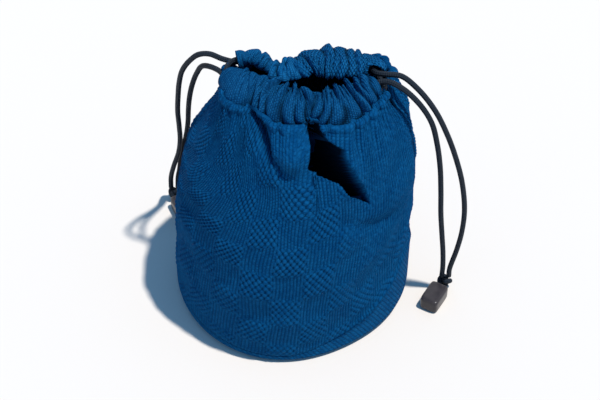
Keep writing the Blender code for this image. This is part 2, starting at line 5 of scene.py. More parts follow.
import bmesh
import bpy
import numpy as np
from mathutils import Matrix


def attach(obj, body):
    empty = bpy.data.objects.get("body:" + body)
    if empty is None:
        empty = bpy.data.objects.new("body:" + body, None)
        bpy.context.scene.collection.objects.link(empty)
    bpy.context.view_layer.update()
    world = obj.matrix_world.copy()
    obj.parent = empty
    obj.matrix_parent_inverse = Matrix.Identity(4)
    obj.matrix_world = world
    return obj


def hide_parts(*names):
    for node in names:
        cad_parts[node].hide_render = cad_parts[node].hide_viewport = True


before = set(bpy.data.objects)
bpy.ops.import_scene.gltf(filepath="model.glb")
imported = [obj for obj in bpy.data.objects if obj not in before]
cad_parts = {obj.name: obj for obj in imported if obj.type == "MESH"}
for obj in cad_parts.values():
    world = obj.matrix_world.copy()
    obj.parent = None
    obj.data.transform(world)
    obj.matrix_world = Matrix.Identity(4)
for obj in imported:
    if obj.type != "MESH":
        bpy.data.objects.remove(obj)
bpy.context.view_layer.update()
print("frame loaded")

upwards = np.array([0.0, 0.0, 1.0])


def through(at, knots, values):
    # A smooth curve through the values at the knots: cubic pieces, whose slope at each knot is drawn from the
    # two chords beside it.
    knots, values = np.asarray(knots, float), np.asarray(values, float)
    slopes = np.gradient(values, knots, axis=0)
    at = np.clip(np.asarray(at, float), knots[0], knots[-1])
    i = np.clip(np.searchsorted(knots, at) - 1, 0, len(knots) - 2)
    span = knots[i + 1] - knots[i]
    t = (at - knots[i]) / span
    if values.ndim > 1:
        span, t = span[..., None], t[..., None]
    start = values[i] * (1 + 2 * t) * (1 - t) ** 2 + slopes[i] * span * t * (1 - t) ** 2
    return start + values[i + 1] * t**2 * (3 - 2 * t) + slopes[i + 1] * span * t**2 * (t - 1)


def byTable(at, table):
    # The smooth curve through a table's rows of place and value.
    return through(at, *np.array(table).T)


def ease(value, low, high):
    # 0 below low, 1 above high, the cubic 3t^2 - 2t^3 between.
    t = np.clip((value - low) / (high - low), 0, 1)
    return t * t * (3 - 2 * t)


def bell(value, middle, width):
    # A hump of height 1: e to the minus square of the distance from the middle in widths.
    return np.exp(-(((value - middle) / width) ** 2))


def halfRound(distance, width):
    # A ridge's section: the root of 4t(1 - t), with t the distance over the width, and 0 beyond it.
    return np.sqrt(np.clip(distance / width * (1 - distance / width) * 4, 0, 1))


def unit(vectors):
    # Each vector over its own length.
    return vectors / np.maximum(np.linalg.norm(vectors, axis=-1, keepdims=True), 1e-12)


def stepLengths(line):
    # The distance from each point of a line to the next.
    return np.linalg.norm(np.diff(line, axis=0), axis=1)


def sharesAlong(line):
    # Each point's way along the line from 0 to 1: the steps up to it over all of them.
    total = np.concatenate([[0], np.cumsum(stepLengths(line))])
    return total / total[-1]


def ripple(u, v, seed):
    # A smooth uneven surface in -1..1: six sine waves at odd directions and sizes, added up.
    rng = np.random.default_rng(seed)
    total = 0
    for k in range(6):
        turn, size, start = rng.uniform(0, math.pi), rng.uniform(0.7, 1.6), rng.uniform(0, 6.28)
        total = total + np.sin(size * (u * math.cos(turn) + v * math.sin(turn)) + start)
    return total / 3.2


def surfaceNormals(points):
    # The cross product of the steps along the row and up the column, at each point.
    return unit(np.cross(np.gradient(points, axis=1), np.gradient(points, axis=0)))


def surfaceHeight(points):
    # How far each point lies up its own column: the sum of the steps below it.
    climb = np.linalg.norm(np.diff(points, axis=0), axis=2)
    return np.concatenate([np.zeros((1, points.shape[1])), np.cumsum(climb, axis=0)])


def numbered(grid, first=0):
    # The running number of each place of a grid, row by row.
    return first + np.arange(grid.shape[0] * grid.shape[1]).reshape(grid.shape[:2])


def quadsOver(numbers):
    # The four corners of every cell of a grid of numbers, along its row first.
    cells = [numbers[:-1, :-1], numbers[:-1, 1:], numbers[1:, 1:], numbers[1:, :-1]]
    return np.stack(cells, axis=-1).reshape(-1, 4)


def filledMesh(name, points, faces, places, pebbled, shadeMask):
    # A smooth mesh from plain lists. places holds a uv for each face corner. pebbled is 1 where the weave has
    # pebbles and 0 where it has ribs, and the last mask is 1 where shade is painted into the colour, at each
    # point.
    mesh = bpy.data.meshes.new(name)
    mesh.from_pydata(points, [], faces)
    layer = mesh.uv_layers.new(name="weave")
    layer.uv.foreach_set("vector", places.astype(np.float32).ravel())
    for label, mask in (("pebbled", pebbled), ("shadeMask", shadeMask)):
        layer = mesh.attributes.new(label, "FLOAT", "POINT")
        layer.data.foreach_set("value", mask.astype(np.float32).ravel())
    mesh.shade_smooth()
    return mesh


def gridMesh(name, points, uv, closed=False, pebbled=0.0, shadeMask=0.0):
    # Quads over rows x columns of points. uv has one column more where the rows close on themselves.
    numbers, corners = numbered(points), quadsOver(numbered(uv)).ravel()
    if closed:
        numbers = np.concatenate([numbers, numbers[:, :1]], axis=1)
    masks = [np.broadcast_to(mask, points.shape[:2]) for mask in (pebbled, shadeMask)]
    return filledMesh(name, points.reshape(-1, 3), quadsOver(numbers), uv.reshape(-1, 2)[corners], *masks)


def linedGridMesh(name, points, uv, inner, innerUv, every, pebbled, shadeMask):
    # The outer grid, the lining's coarser grid turned the other way, and a strip between their edges. Each
    # face of a strip spans one step of the lining and as many outer steps as its grid is coarser.
    outside, inside = numbered(points), numbered(inner, first=points[..., 0].size)
    sides = (
        (outside[0, ::-1], inside[0, ::-1]),
        (outside[-1], inside[-1]),
        (outside[:, 0], inside[:, 0]),
        (outside[::-1, -1], inside[::-1, -1]),
    )
    strips = []
    for far, near in sides:
        first = every * np.arange(len(near) - 1)[:, None]
        strips.append(np.hstack([far[first + np.arange(every + 1)], near[1:, None], near[:-1, None]]))
    strips = np.concatenate(strips)
    outer, lining = quadsOver(outside), quadsOver(inside)[:, [0, 3, 2, 1]]
    places = np.concatenate([uv.reshape(-1, 2), innerUv.reshape(-1, 2)])
    places = np.concatenate([places[outer.ravel()], places[lining.ravel()], np.zeros((strips.size, 2))])
    faces = outer.tolist() + lining.tolist() + strips.tolist()
    spots = np.concatenate([points.reshape(-1, 3), inner.reshape(-1, 3)])
    masks = [np.append(mask, np.zeros(inside.size)) for mask in (pebbled, shadeMask)]
    mesh = filledMesh(name, spots, faces, places, *masks)
    mesh.polygons.foreach_set("use_smooth", np.arange(len(faces)) < len(faces) - len(strips))
    return mesh


def closeEnds(mesh):
    # Fills each open end with one face and turns every face outwards.
    work = bmesh.new()
    work.from_mesh(mesh)
    bmesh.ops.holes_fill(work, edges=[e for e in work.edges if e.is_boundary], sides=0)
    bmesh.ops.recalc_face_normals(work, faces=work.faces)
    work.to_mesh(mesh)
    work.free()


def place(name, mesh, material):
    # An object at the origin that carries the mesh and rides on the pouch's one body.
    obj = bpy.data.objects.new(name, mesh)
    obj.data.materials.append(material)
    bpy.context.scene.collection.objects.link(obj)
    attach(obj, "root")
    return obj


def lined(obj, thickness):
    # The drawn surface stays outside and the cloth's thickness goes inwards.
    wall = obj.modifiers.new("cloth", "SOLIDIFY")
    wall.thickness, wall.offset, wall.use_even_offset = thickness, -1, False


def nodeAt(tree, kind, **values):
    # A new node with the given settings.
    node = tree.nodes.new(kind)
    for key, value in values.items():
        setattr(node, key, value)
    return node


def feed(tree, slot, value):
    # A number or a colour is set on the socket, and another node's output is linked to it.
    if isinstance(value, (int, float, tuple)):
        slot.default_value = value
    elif value is not None:
        tree.links.new(value, slot)


def mathNode(tree, operation, first, second=None, third=None):
    # One sum on up to three values.
    node = nodeAt(tree, "ShaderNodeMath", operation=operation)
    for slot, value in zip(node.inputs, (first, second, third)):
        feed(tree, slot, value)
    return node.outputs[0]


def mixColour(tree, factor, first, second):
    # The first colour where the factor is 0, the second where it is 1.
    node = nodeAt(tree, "ShaderNodeMix", data_type="RGBA")
    for slot, value in ((node.inputs[0], factor), (node.inputs[6], first), (node.inputs[7], second)):
        feed(tree, slot, value)
    return node.outputs[2]


def noiseAt(tree, vector, scale, detail=2):
    # Cloudy noise from about 0.3 to 0.7, with scale blots to a metre or to a square of the cloth.
    noise = nodeAt(tree, "ShaderNodeTexNoise")
    noise.inputs["Scale"].default_value = scale
    noise.inputs["Detail"].default_value = detail
    tree.links.new(vector, noise.inputs["Vector"])
    return noise.outputs["Fac"]


def bumpInto(tree, shader, height, strength, distance):
    # The shader's normal leans with the slope of the height.
    bump = nodeAt(tree, "ShaderNodeBump")
    bump.inputs["Strength"].default_value = strength
    bump.inputs["Distance"].default_value = distance
    tree.links.new(height, bump.inputs["Height"])
    tree.links.new(bump.outputs[0], shader.inputs["Normal"])


def newMaterial(name, roughness, specular):
    # A material's node tree and its one shader, with the plain numbers on the shader's own sockets.
    made = bpy.data.materials.new(name)
    made.use_nodes = True
    shader = made.node_tree.nodes["Principled BSDF"]
    shader.inputs["Roughness"].default_value = roughness
    shader.inputs["Specular IOR Level"].default_value = specular
    return made, made.node_tree, shader


def newGroup(name, inputs, outputs):
    # A shader node group with named sockets, and its own input and output nodes.
    tree = bpy.data.node_groups.new(name, "ShaderNodeTree")
    for label, kind, value in inputs:
        socket = tree.interface.new_socket(name=label, in_out="INPUT", socket_type=kind)
        if value is not None:
            socket.default_value = value
    for label, kind in outputs:
        tree.interface.new_socket(name=label, in_out="OUTPUT", socket_type=kind)
    return tree, nodeAt(tree, "NodeGroupInput"), nodeAt(tree, "NodeGroupOutput")


weave = {
    "pebbles": (5.0, 4.0),  # how many lie across and up one square of the cloth's checks
    "pebbleBow": (1.15, 2.0),  # how fast a pebble falls away sideways and upwards
    "ribs": 9.0,
    "ribPower": 0.6,
    "stitches": 10.0,
    "stitchPower": 0.45,
    "stitchShare": 0.7,  # how deep the stitches cut into a rib
    "ribShare": 0.7,  # how deep the gaps between ribs are
    "uneven": 0.55,
    "fuzz": 38,
}


def makeWeaveGroup():
    # Height of the weave from its two lengths in squares and its pebbled share: round pebbles or upright ribs.
    # f runs from -1 to 1 across a pebble or a rib. A pebble is the root of 1 - a f^2 - b f^2, on two grids, one
    # set between the other. A rib is cos(f pi / 2) to a power, cut into short stitches, and Thread is a chance
    # number for each stitch. Groove grows with the depth below the highest thread.
    tree, given, out = newGroup(
        "checkedWeave",
        [
            ("Place", "NodeSocketVector", None),
            ("Pebbled", "NodeSocketFloat", 0.0),
            ("Uneven", "NodeSocketFloat", weave["uneven"]),
        ],
        [("Height", "NodeSocketFloat"), ("Groove", "NodeSocketFloat"), ("Thread", "NodeSocketFloat")],
    )
    link = tree.links.new
    parts = nodeAt(tree, "ShaderNodeSeparateXYZ")
    link(given.outputs["Place"], parts.inputs[0])
    across, up = parts.outputs[0], parts.outputs[1]

    def centred(value):
        # -1 to 1 across each whole number.
        return mathNode(tree, "MULTIPLY_ADD", mathNode(tree, "FRACT", value), 2.0, -1.0)

    def dome(value, power):
        # cos(f pi / 2) to a power.
        bowed = mathNode(tree, "COSINE", mathNode(tree, "MULTIPLY", centred(value), math.pi / 2))
        return mathNode(tree, "POWER", mathNode(tree, "MAXIMUM", bowed, 0.0), power)

    def pebbleGrid(offset):
        # The root of 1 - a f^2 - b f^2, never below 0.
        left = 1.0
        for value, count, bow in zip((across, up), weave["pebbles"], weave["pebbleBow"]):
            place = centred(mathNode(tree, "MULTIPLY_ADD", value, count, offset))
            left = mathNode(tree, "MULTIPLY_ADD", mathNode(tree, "POWER", place, 2.0), -bow, left)
        return mathNode(tree, "SQRT", mathNode(tree, "MAXIMUM", left, 0.0))

    pebble = mathNode(tree, "MAXIMUM", pebbleGrid(0.0), pebbleGrid(0.5))
    line = mathNode(tree, "MULTIPLY", across, weave["ribs"])
    lineNumber = mathNode(tree, "MULTIPLY", mathNode(tree, "FLOOR", line), 0.5)
    stitches = mathNode(tree, "MULTIPLY_ADD", up, weave["stitches"], lineNumber)
    cut, deep = weave["stitchShare"], weave["ribShare"]
    stitch = mathNode(tree, "MULTIPLY_ADD", dome(stitches, weave["stitchPower"]), cut, 1 - cut)
    rib = mathNode(tree, "MULTIPLY", dome(line, weave["ribPower"]), stitch)
    rib = mathNode(tree, "MULTIPLY_ADD", rib, deep, 1 - deep)
    mixed = nodeAt(tree, "ShaderNodeMix", data_type="FLOAT")
    link(given.outputs["Pebbled"], mixed.inputs[0])
    link(rib, mixed.inputs[2])
    link(pebble, mixed.inputs[3])
    fuzz = mathNode(tree, "SUBTRACT", noiseAt(tree, given.outputs["Place"], weave["fuzz"]), 0.5)
    height = mathNode(tree, "MULTIPLY_ADD", fuzz, given.outputs["Uneven"], mixed.outputs[0])
    cell = nodeAt(tree, "ShaderNodeCombineXYZ")
    link(mathNode(tree, "FLOOR", line), cell.inputs[0])
    link(mathNode(tree, "FLOOR", stitches), cell.inputs[1])
    thread = nodeAt(tree, "ShaderNodeTexWhiteNoise", noise_dimensions="2D")
    link(cell.outputs[0], thread.inputs["Vector"])
    link(thread.outputs["Value"], out.inputs["Thread"])
    link(height, out.inputs["Height"])
    link(mathNode(tree, "MAXIMUM", mathNode(tree, "SUBTRACT", 1.0, height), 0.0), out.inputs["Groove"])
    return tree


weaveGroup = makeWeaveGroup()


def centred(value):
    # The material's f: -1 to 1 across each whole number.
    return 2 * (value - np.floor(value)) - 1


def pebbleHeight(across, up):
    # The material's pebbles, from 0 to 1, on their two grids.
    (wide, tall), (a, b) = weave["pebbles"], weave["pebbleBow"]
    grids = [1 - a * centred(wide * across + k) ** 2 - b * centred(tall * up + k) ** 2 for k in (0, 0.5)]
    return np.sqrt(np.clip(np.maximum(*grids), 0, 1))


def ribHeight(across):
    # The material's ribs, from 0 to 1, without their stitches.
    return np.cos(math.pi / 2 * centred(weave["ribs"] * across)) ** weave["ribPower"]


fadingAndShade = {
    "paintedShade": (0.0010, 0.0060, 0.0140, 1),  # painted shade, put into the folds, the pocket and the crease
    "paintedShadeShare": 0.93,
    "blots": (38, 4),  # scale and detail of the fading
    "fluff": (900, 3),
    "fluffShare": 2.2,
    "threadShare": 0.8,
    "roughness": 0.88,
    "specular": 0.03,
    "bump": 0.9,
}


def clothMaterial(name, look):
    # Colour goes from the look's colour to its worn one by blots, fluff and single threads added up, towards
    # its deep one as painted shade in the weave's grooves, and to a near-black painted shade in the folds, the
    # pocket and the crease.
    made, tree, shader = newMaterial(name, fadingAndShade["roughness"], fadingAndShade["specular"])
    cloth = nodeAt(tree, "ShaderNodeGroup")
    cloth.node_tree = weaveGroup
    tree.links.new(nodeAt(tree, "ShaderNodeUVMap", uv_map="weave").outputs[0], cloth.inputs["Place"])
    masks = [nodeAt(tree, "ShaderNodeAttribute", attribute_name=label) for label in ("pebbled", "shadeMask")]
    tree.links.new(masks[0].outputs["Fac"], cloth.inputs["Pebbled"])
    coords = nodeAt(tree, "ShaderNodeTexCoord").outputs["Object"]
    blots, fluff = noiseAt(tree, coords, *fadingAndShade["blots"]), noiseAt(tree, coords, *fadingAndShade["fluff"])
    faded = mathNode(tree, "SUBTRACT", blots, fadingAndShade["fluffShare"] / 2)
    faded = mathNode(tree, "MULTIPLY_ADD", fluff, fadingAndShade["fluffShare"], faded)
    faded = mathNode(tree, "SUBTRACT", faded, fadingAndShade["threadShare"] / 2)
    faded = mathNode(tree, "MULTIPLY_ADD", cloth.outputs["Thread"], fadingAndShade["threadShare"], faded)
    faded = mathNode(tree, "MINIMUM", mathNode(tree, "MAXIMUM", faded, 0.0), 1.0)
    lit = mixColour(tree, faded, look["colour"], look["worn"])
    # Painted shade: the colour goes towards the deep one in the weave's grooves.
    shade = mathNode(tree, "MULTIPLY", cloth.outputs["Groove"], look["grooveShade"])
    worn = mixColour(tree, shade, lit, look["deep"])
    # Painted shade: the colour goes to near black where the mask marks the folds, the pocket and the crease.
    paintedShade = mathNode(tree, "MULTIPLY", masks[1].outputs["Fac"], fadingAndShade["paintedShadeShare"])
    tree.links.new(mixColour(tree, paintedShade, worn, fadingAndShade["paintedShade"]), shader.inputs["Base Color"])
    bumpInto(tree, shader, cloth.outputs["Height"], fadingAndShade["bump"], look["relief"])
    return made


# Each row of gather holds an angle, then the sewn edge and the drawn rim there, as x, y and rise in
# millimetres.
frontCasing = {
    "gather": (
        (-107, (-38.0, 2.5, -2.0), (-32.5, 4.5, 8.5)),
        (-84, (-36.5, -4.0, -3.0), (-28.5, 3.0, 8.5)),
        (-51, (-30.5, -12.5, -4.0), (-22.5, 1.5, 9.0)),
        (-30, (-20.0, -15.5, -4.5), (-16.0, -3.0, 9.0)),
        (-17.5, (-12.0, -22.5, -5.0), (-10.0, -8.5, 9.5)),
        (-3, (-2.0, -27.5, -5.0), (-3.0, -11.0, 9.5)),
        (5.5, (4.5, -25.5, -5.0), (3.0, -13.0, 9.0)),
        (11.5, (9.5, -21.5, -4.5), (8.0, -13.5, 9.0)),
        (18, (15.0, -25.0, -5.0), (13.0, -13.5, 9.0)),
        (27, (22.0, -27.5, -5.0), (20.0, -12.5, 9.5)),
        (43.5, (33.0, -22.0, -4.5), (28.0, -8.5, 9.5)),
        (58.5, (41.0, -14.0, -3.0), (34.0, -5.0, 10.0)),
        (76, (45.0, -8.0, -1.0), (40.0, -3.5, 8.5)),
    ),
    "pleats": (29, 17),  # at the drawn rim and at the seam
    "pleatDepth": 0.0042,
    "rimSunk": 0.85,  # how far down the pleats start at the rim, as a share of their depth
    "depths": (  # share of the length, then how strong the pleats are there
        (0, 0.2), (0.10, 0.3), (0.20, 0.5), (0.28, 1.2), (0.36, 1.5), (0.45, 1.2), (0.55, 1.0),
        (0.62, 1.3), (0.8, 1.2), (0.92, 1.4), (1, 0.7),
    ),
    "pebbled": 0.0,
    "weaveSize": 0.62,
    "seed": 11,
    "look": {
        "colour": (0.0030, 0.084, 0.232, 1),
        "worn": (0.0090, 0.132, 0.318, 1),
        # deep is the painted shade in the weave's grooves, and the number after it how strong it is.
        "deep": (0.0006, 0.022, 0.074, 1),
        "grooveShade": 0.75,
        "relief": 0.0009,
    },
}
backCasing = {
    "gather": (
        (76, (46.5, 6.0, 0.0), (38.5, 6.0, 9.0)),
        (96, (48.0, 11.5, 0.5), (36.5, 3.5, 9.5)),
        (116, (43.0, 17.5, 1.5), (33.0, 1.0, 9.5)),
        (131, (35.0, 20.0, 3.5), (28.0, -1.0, 9.0)),
        (145, (27.0, 22.0, 4.5), (21.0, -2.0, 9.0)),
        (158, (18.0, 22.5, 5.0), (14.0, -2.0, 9.0)),
        (170, (9.0, 19.5, 4.5), (7.5, -3.0, 9.0)),
        (180, (1.0, 14.0, 3.5), (1.0, -6.0, 9.5)),
        (188, (-6.0, 11.5, 3.5), (-5.0, -7.0, 9.5)),
        (197, (-13.0, 14.0, 3.5), (-12.0, -0.5, 9.5)),
        (211, (-20.5, 18.0, 3.5), (-19.0, 5.5, 10.0)),
        (230, (-27.5, 18.0, 2.0), (-24.0, 9.0, 10.5)),
        (253, (-32.0, 15.5, 0.5), (-28.0, 10.5, 11.0)),
    ),
    "pleats": (24, 13),
    "pleatDepth": 0.0036,
    "rimSunk": 0.55,
    "depths": (
        (0, 0.3), (0.15, 0.7), (0.35, 1.2), (0.5, 1.0), (0.6, 0.8), (0.72, 1.1), (0.82, 0.7),
        (0.92, 0.45), (1, 0.2),
    ),
    "pebbled": 1.0,
    "weaveSize": 0.60,
    "seed": 12,
    # The front casing's cloth with its colours made lighter: painted light.
    "look": {
        **frontCasing["look"],
        "colour": (0.0040, 0.108, 0.282, 1),
        "worn": (0.0110, 0.168, 0.385, 1),
    },
}
channel = {
    "seamHeight": 0.150,
    "outerBulge": 0.0050,
    "innerBulge": 0.0029,
    "endBulge": 0.0052,
    "endShare": 0.12,  # how far in from each end the tunnel rounds out
    "cloth": 0.0012,
    "stations": 460,
    "sides": 72,
    "carriedStations": 65,
    "seamSunk": 0.55,
    "deepest": (0.0012, 0.0020),  # how deep a valley goes at the seam, and how much more at the rim
    "crumple": (0.0007, 24, 2.2),  # size, waves along and waves round
    # how strongly shade is painted into the pleats' deep valleys
    "valleyShade": 0.85,
    "weaveAround": 2.4,  # squares round the tunnel
    "weaveStretch": 1.35,
    "pebblesEnd": (0.52, 0.62),
    "pebbleRelief": 0.0006,
    "plainEnds": 0.03,
}


pleat = {  # rise runs from -1 at the seam to 1 at the rim
    "power": 0.6,
    "wander": ((0.30, 2.3, 1), (0.20, 5.7, 2)),  # size in pleats, waves along the casing, share of the start
    "starts": (0.1, 0.6),  # where the wander begins for the fine and for the wide pleats
    "lean": (0.012, 2.2, 11),  # share of the length, then radians for each radian round and for the length
    "heights": ((0.75, 0.35, 2.4, 1), (0.8, 0.3, 1.9, 0)),  # mean, swing, its radians a pleat and at the first
    "fineZone": (-0.3, 0.7),  # rises between which the fine pleats take over
    "wideLoss": 0.6,
    "seamShare": 0.3,  # what is left of them at the seam
    "seamZone": (-1.0, -0.7),
    "rimZone": (0.2, 0.8),
    "innerLoss": 0.7,  # how much is gone on the inner side
    "innerZone": (0.0, 0.6),
    "valleyZones": ((0.10, 0.55), (0.3, 1.0), (0.2, 0.8)),  # ridge height, strength, way inwards
}


def casingEdges(gather, angles):
    # The sewn lower edge and the drawn rim, each a smooth curve through its rows.
    knots, lift = [row[0] for row in gather], channel["seamHeight"] * upwards
    return [through(angles, knots, np.array([row[k] for row in gather]) / 1000) + lift for k in (1, 2)]


def evenAngles(gather, count):
    # Angles at which the middle of the casing is cut into equal lengths.
    fine = np.linspace(gather[0][0], gather[-1][0], 600)
    return np.interp(np.linspace(0, 1, count), sharesAlong(sum(casingEdges(gather, fine)) / 2), fine)


def casingFrame(gather, angles):
    # Centre line, seam-to-rim and outward directions, half width, and half thickness outside and inside.
    # They are worked out at even stations and carried between them by smooth curves.
    at = evenAngles(gather, channel["carriedStations"])
    seam, rim = casingEdges(gather, at)
    middle = (seam + rim) / 2
    along = unit(np.gradient(middle, axis=0))
    across = rim - seam
    across -= (across * along).sum(axis=1, keepdims=True) * along
    halfWidth = np.linalg.norm(across, axis=1)[:, None] / 2
    across = unit(across)
    outward = unit(np.cross(along, across))
    share, reach = sharesAlong(middle)[:, None], channel["endShare"]
    end = 1 - ease(share, 0.0, reach) * ease(1 - share, 0.0, reach)
    outer = channel["outerBulge"] + (channel["endBulge"] - channel["outerBulge"]) * end
    inner = channel["innerBulge"] + (channel["endBulge"] - channel["innerBulge"]) * end
    placed = through(angles, at, np.hstack([middle, across, outward, halfWidth, outer, inner]))
    return placed[:, :3], unit(placed[:, 3:6]), unit(placed[:, 6:9]), placed[:, 9:].T


def pleatWave(share, count, start):
    # Rounded ridges between sharp valleys: a power of the size of a sine, whose phase wanders by two slower
    # sines. Also each ridge's number.
    phase = count * share
    for size, waves, times in pleat["wander"]:
        phase = phase + size * np.sin(2 * math.pi * (waves * share + times * start))
    return np.abs(np.sin(math.pi * phase)) ** pleat["power"], np.floor(phase)


def pleatRelief(casing, share, rise, out, turn):
    # Many pleats at the drawn rim and fewer, wider ones towards the seam, each as high as its number says and
    # as the casing's list says along its length. They start below the tunnel's surface, so that valleys cut in.
    # The second result is 1 at the bottom of a strong valley on the outside.
    size, roundWaves, longWaves = pleat["lean"]
    along, waves = share + size * np.sin(roundWaves * turn + longWaves * share), []
    for count, start, heights in zip(casing["pleats"], pleat["starts"], pleat["heights"]):
        (wave, number), (mean, swing, step, first) = pleatWave(along, count, start), heights
        waves.append(wave * (mean + swing * np.sin(step * number + first)))
    nearRim = ease(rise, *pleat["fineZone"])
    ridges = waves[0] * nearRim + waves[1] * (1 - pleat["wideLoss"] * nearRim)
    strong = byTable(share, casing["depths"])
    low, strength, inwards = pleat["valleyZones"]
    valley = (1 - ease(ridges, *low)) * ease(strong, *strength) * (1 - ease(-out, *inwards))
    sunk = channel["seamSunk"] + (casing["rimSunk"] - channel["seamSunk"]) * nearRim
    left = pleat["seamShare"] + (1 - pleat["seamShare"]) * ease(rise, *pleat["seamZone"])
    depth = casing["pleatDepth"] * (ridges - sunk) * strong * left
    atSeam, moreAtRim = channel["deepest"]
    depth = np.maximum(depth, -atSeam - moreAtRim * ease(rise, *pleat["rimZone"]))
    return depth * (1 - pleat["innerLoss"] * ease(-out, *pleat["innerZone"])), valley


def makeCasing(name, casing, node, material):
    # An ellipse round the centre line, pushed out along its own normal by pleats, crumples and pebbles.
    angles = evenAngles(casing["gather"], channel["stations"] + 1)
    middle, across, outward, (halfWidth, outer, inner) = casingFrame(casing["gather"], angles)
    share, halfWidth = sharesAlong(middle)[:, None], halfWidth[:, None]
    turn = np.linspace(0, 2 * math.pi, channel["sides"], endpoint=False)[None, :]
    rise, out = -np.cos(turn), np.sin(turn)
    thick = np.where(out > 0, outer[:, None], inner[:, None])
    depth, valley = pleatRelief(casing, share, rise, out, turn)
    size, longWaves, roundWaves = channel["crumple"]
    depth = depth + size * ripple(longWaves * share, roundWaves * turn, casing["seed"])
    length = stepLengths(middle).sum()
    long = share * length / wall["square"] * channel["weaveStretch"]
    around = np.linspace(0, 1, channel["sides"] + 1)[None, :] * channel["weaveAround"]
    uv = np.stack(np.broadcast_arrays(long, around), axis=-1) / casing["weaveSize"]
    pebbled = casing["pebbled"] * (1 - ease(share, *channel["pebblesEnd"])) * np.ones_like(depth)
    depth = depth + pebbled * channel["pebbleRelief"] * pebbleHeight(uv[:, :-1, 0], uv[:, :-1, 1])
    depth = depth * ease(share, 0.0, channel["plainEnds"]) * ease(1 - share, 0.0, channel["plainEnds"])
    push = unit(np.stack([rise / halfWidth, out / thick], axis=-1))
    riseBy = halfWidth * rise + depth * push[..., 0]
    outBy = thick * out + depth * push[..., 1]
    points = middle[:, None] + riseBy[..., None] * across[:, None] + outBy[..., None] * outward[:, None]
    # Shade is painted into the colour at the bottom of the strong valleys.
    masks = {"pebbled": pebbled[:, ::-1], "shadeMask": channel["valleyShade"] * valley[:, ::-1]}
    obj = place(name, gridMesh(name, points[:, ::-1], uv[:, ::-1], closed=True, **masks), material)
    lined(obj, channel["cloth"])
    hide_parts(node)


wall = {
    "baseRadius": 0.0695,
    "seamFront": 0.0060,
    "seamBack": 0.0100,
    "seamSide": 0.0120,
    "seamRise": (  # how much higher the base comes up at the right: angle, then metres
        (0, 0), (10, 0.003), (19, 0.006), (30, 0.0087), (41, 0.0124), (50, 0.0175), (60, 0.024),
        (68, 0.031), (76, 0.031), (86, 0.025), (98, 0.014), (115, 0.004), (130, 0),
    ),
    "lowWelt": (0.0016, 0.0026),  # how far the seam above the base stands out at the right, and its width
    "lowWeltAt": (46, 24),  # the angle where it does, and its spread
    "frontFlat": (0.0055, 28, 38),  # how far the front is pressed in at the base, the angle, and its spread
    "flatFades": (0.05, 0.6),
    "cloth": 0.0016,
    "seamGap": 0.0005,
    "sideGap": 0.0001,
    "slit": 0.0240,
    "parting": (0.1, 0.5),  # how far the slit is open on the left and on the right
    "leftCornerLift": (0.0010, 0.0000, 0.0040),
    "liftFrom": 0.78,
    "heldTop": 0.008,  # the share of the height over which the folds fade into the seam
    "cornerFade": (34, 24),  # degrees over which a corner's shift and the left corner's lift fade
    "underCasing": (104, 138, 222, 253),  # angles between which the panel's edge goes under the back casing
    "tuck": 0.0020,
    "welt": 0.0016,
    "weltWidth": 0.0042,
    "pinchSlack": 0.0016,
    "pinchAt": (11.5, 6),
    "closing": 0.55,  # the share of the height above which the rings close on the mouth
    "mouthRoom": 0.020,
    "mouthRoomShares": (0.30, 0.30, 0.42, 0.45),  # on the left, right, front and back
    "shape": (  # share of the height, then the share drawn in on the left, right, front and back
        (0.00, 0.00, 0.07, 0.000, 0.000),
        (0.22, 0.05, 0.18, 0.000, -0.010),
        (0.36, 0.12, 0.17, 0.060, 0.010),
        (0.50, 0.16, 0.10, 0.143, 0.062),
        (0.64, 0.35, 0.14, 0.262, 0.165),
        (0.78, 0.67, 0.41, 0.430, 0.320),
        (0.87, 0.84, 0.64, 0.597, 0.510),
        (0.94, 0.94, 0.85, 0.776, 0.710),
        (1.00, 1.00, 1.00, 1.000, 1.000),
    ),
    "ribColumns": 4,
    "rows": 200,
    "rowPower": 0.85,  # under 1, the rows crowd towards the top
    "liningEvery": 4,  # the lining has every fourth row and column
    "look": {
        "colour": (0.0010, 0.070, 0.205, 1),
        "worn": (0.0040, 0.108, 0.275, 1),
        # deep is the painted shade in the weave's grooves, and the number after it how strong it is.
        "deep": (0.0003, 0.019, 0.064, 1),
        "grooveShade": 0.58,
        "relief": 0.0010,
    },
    "square": 0.0183,
}
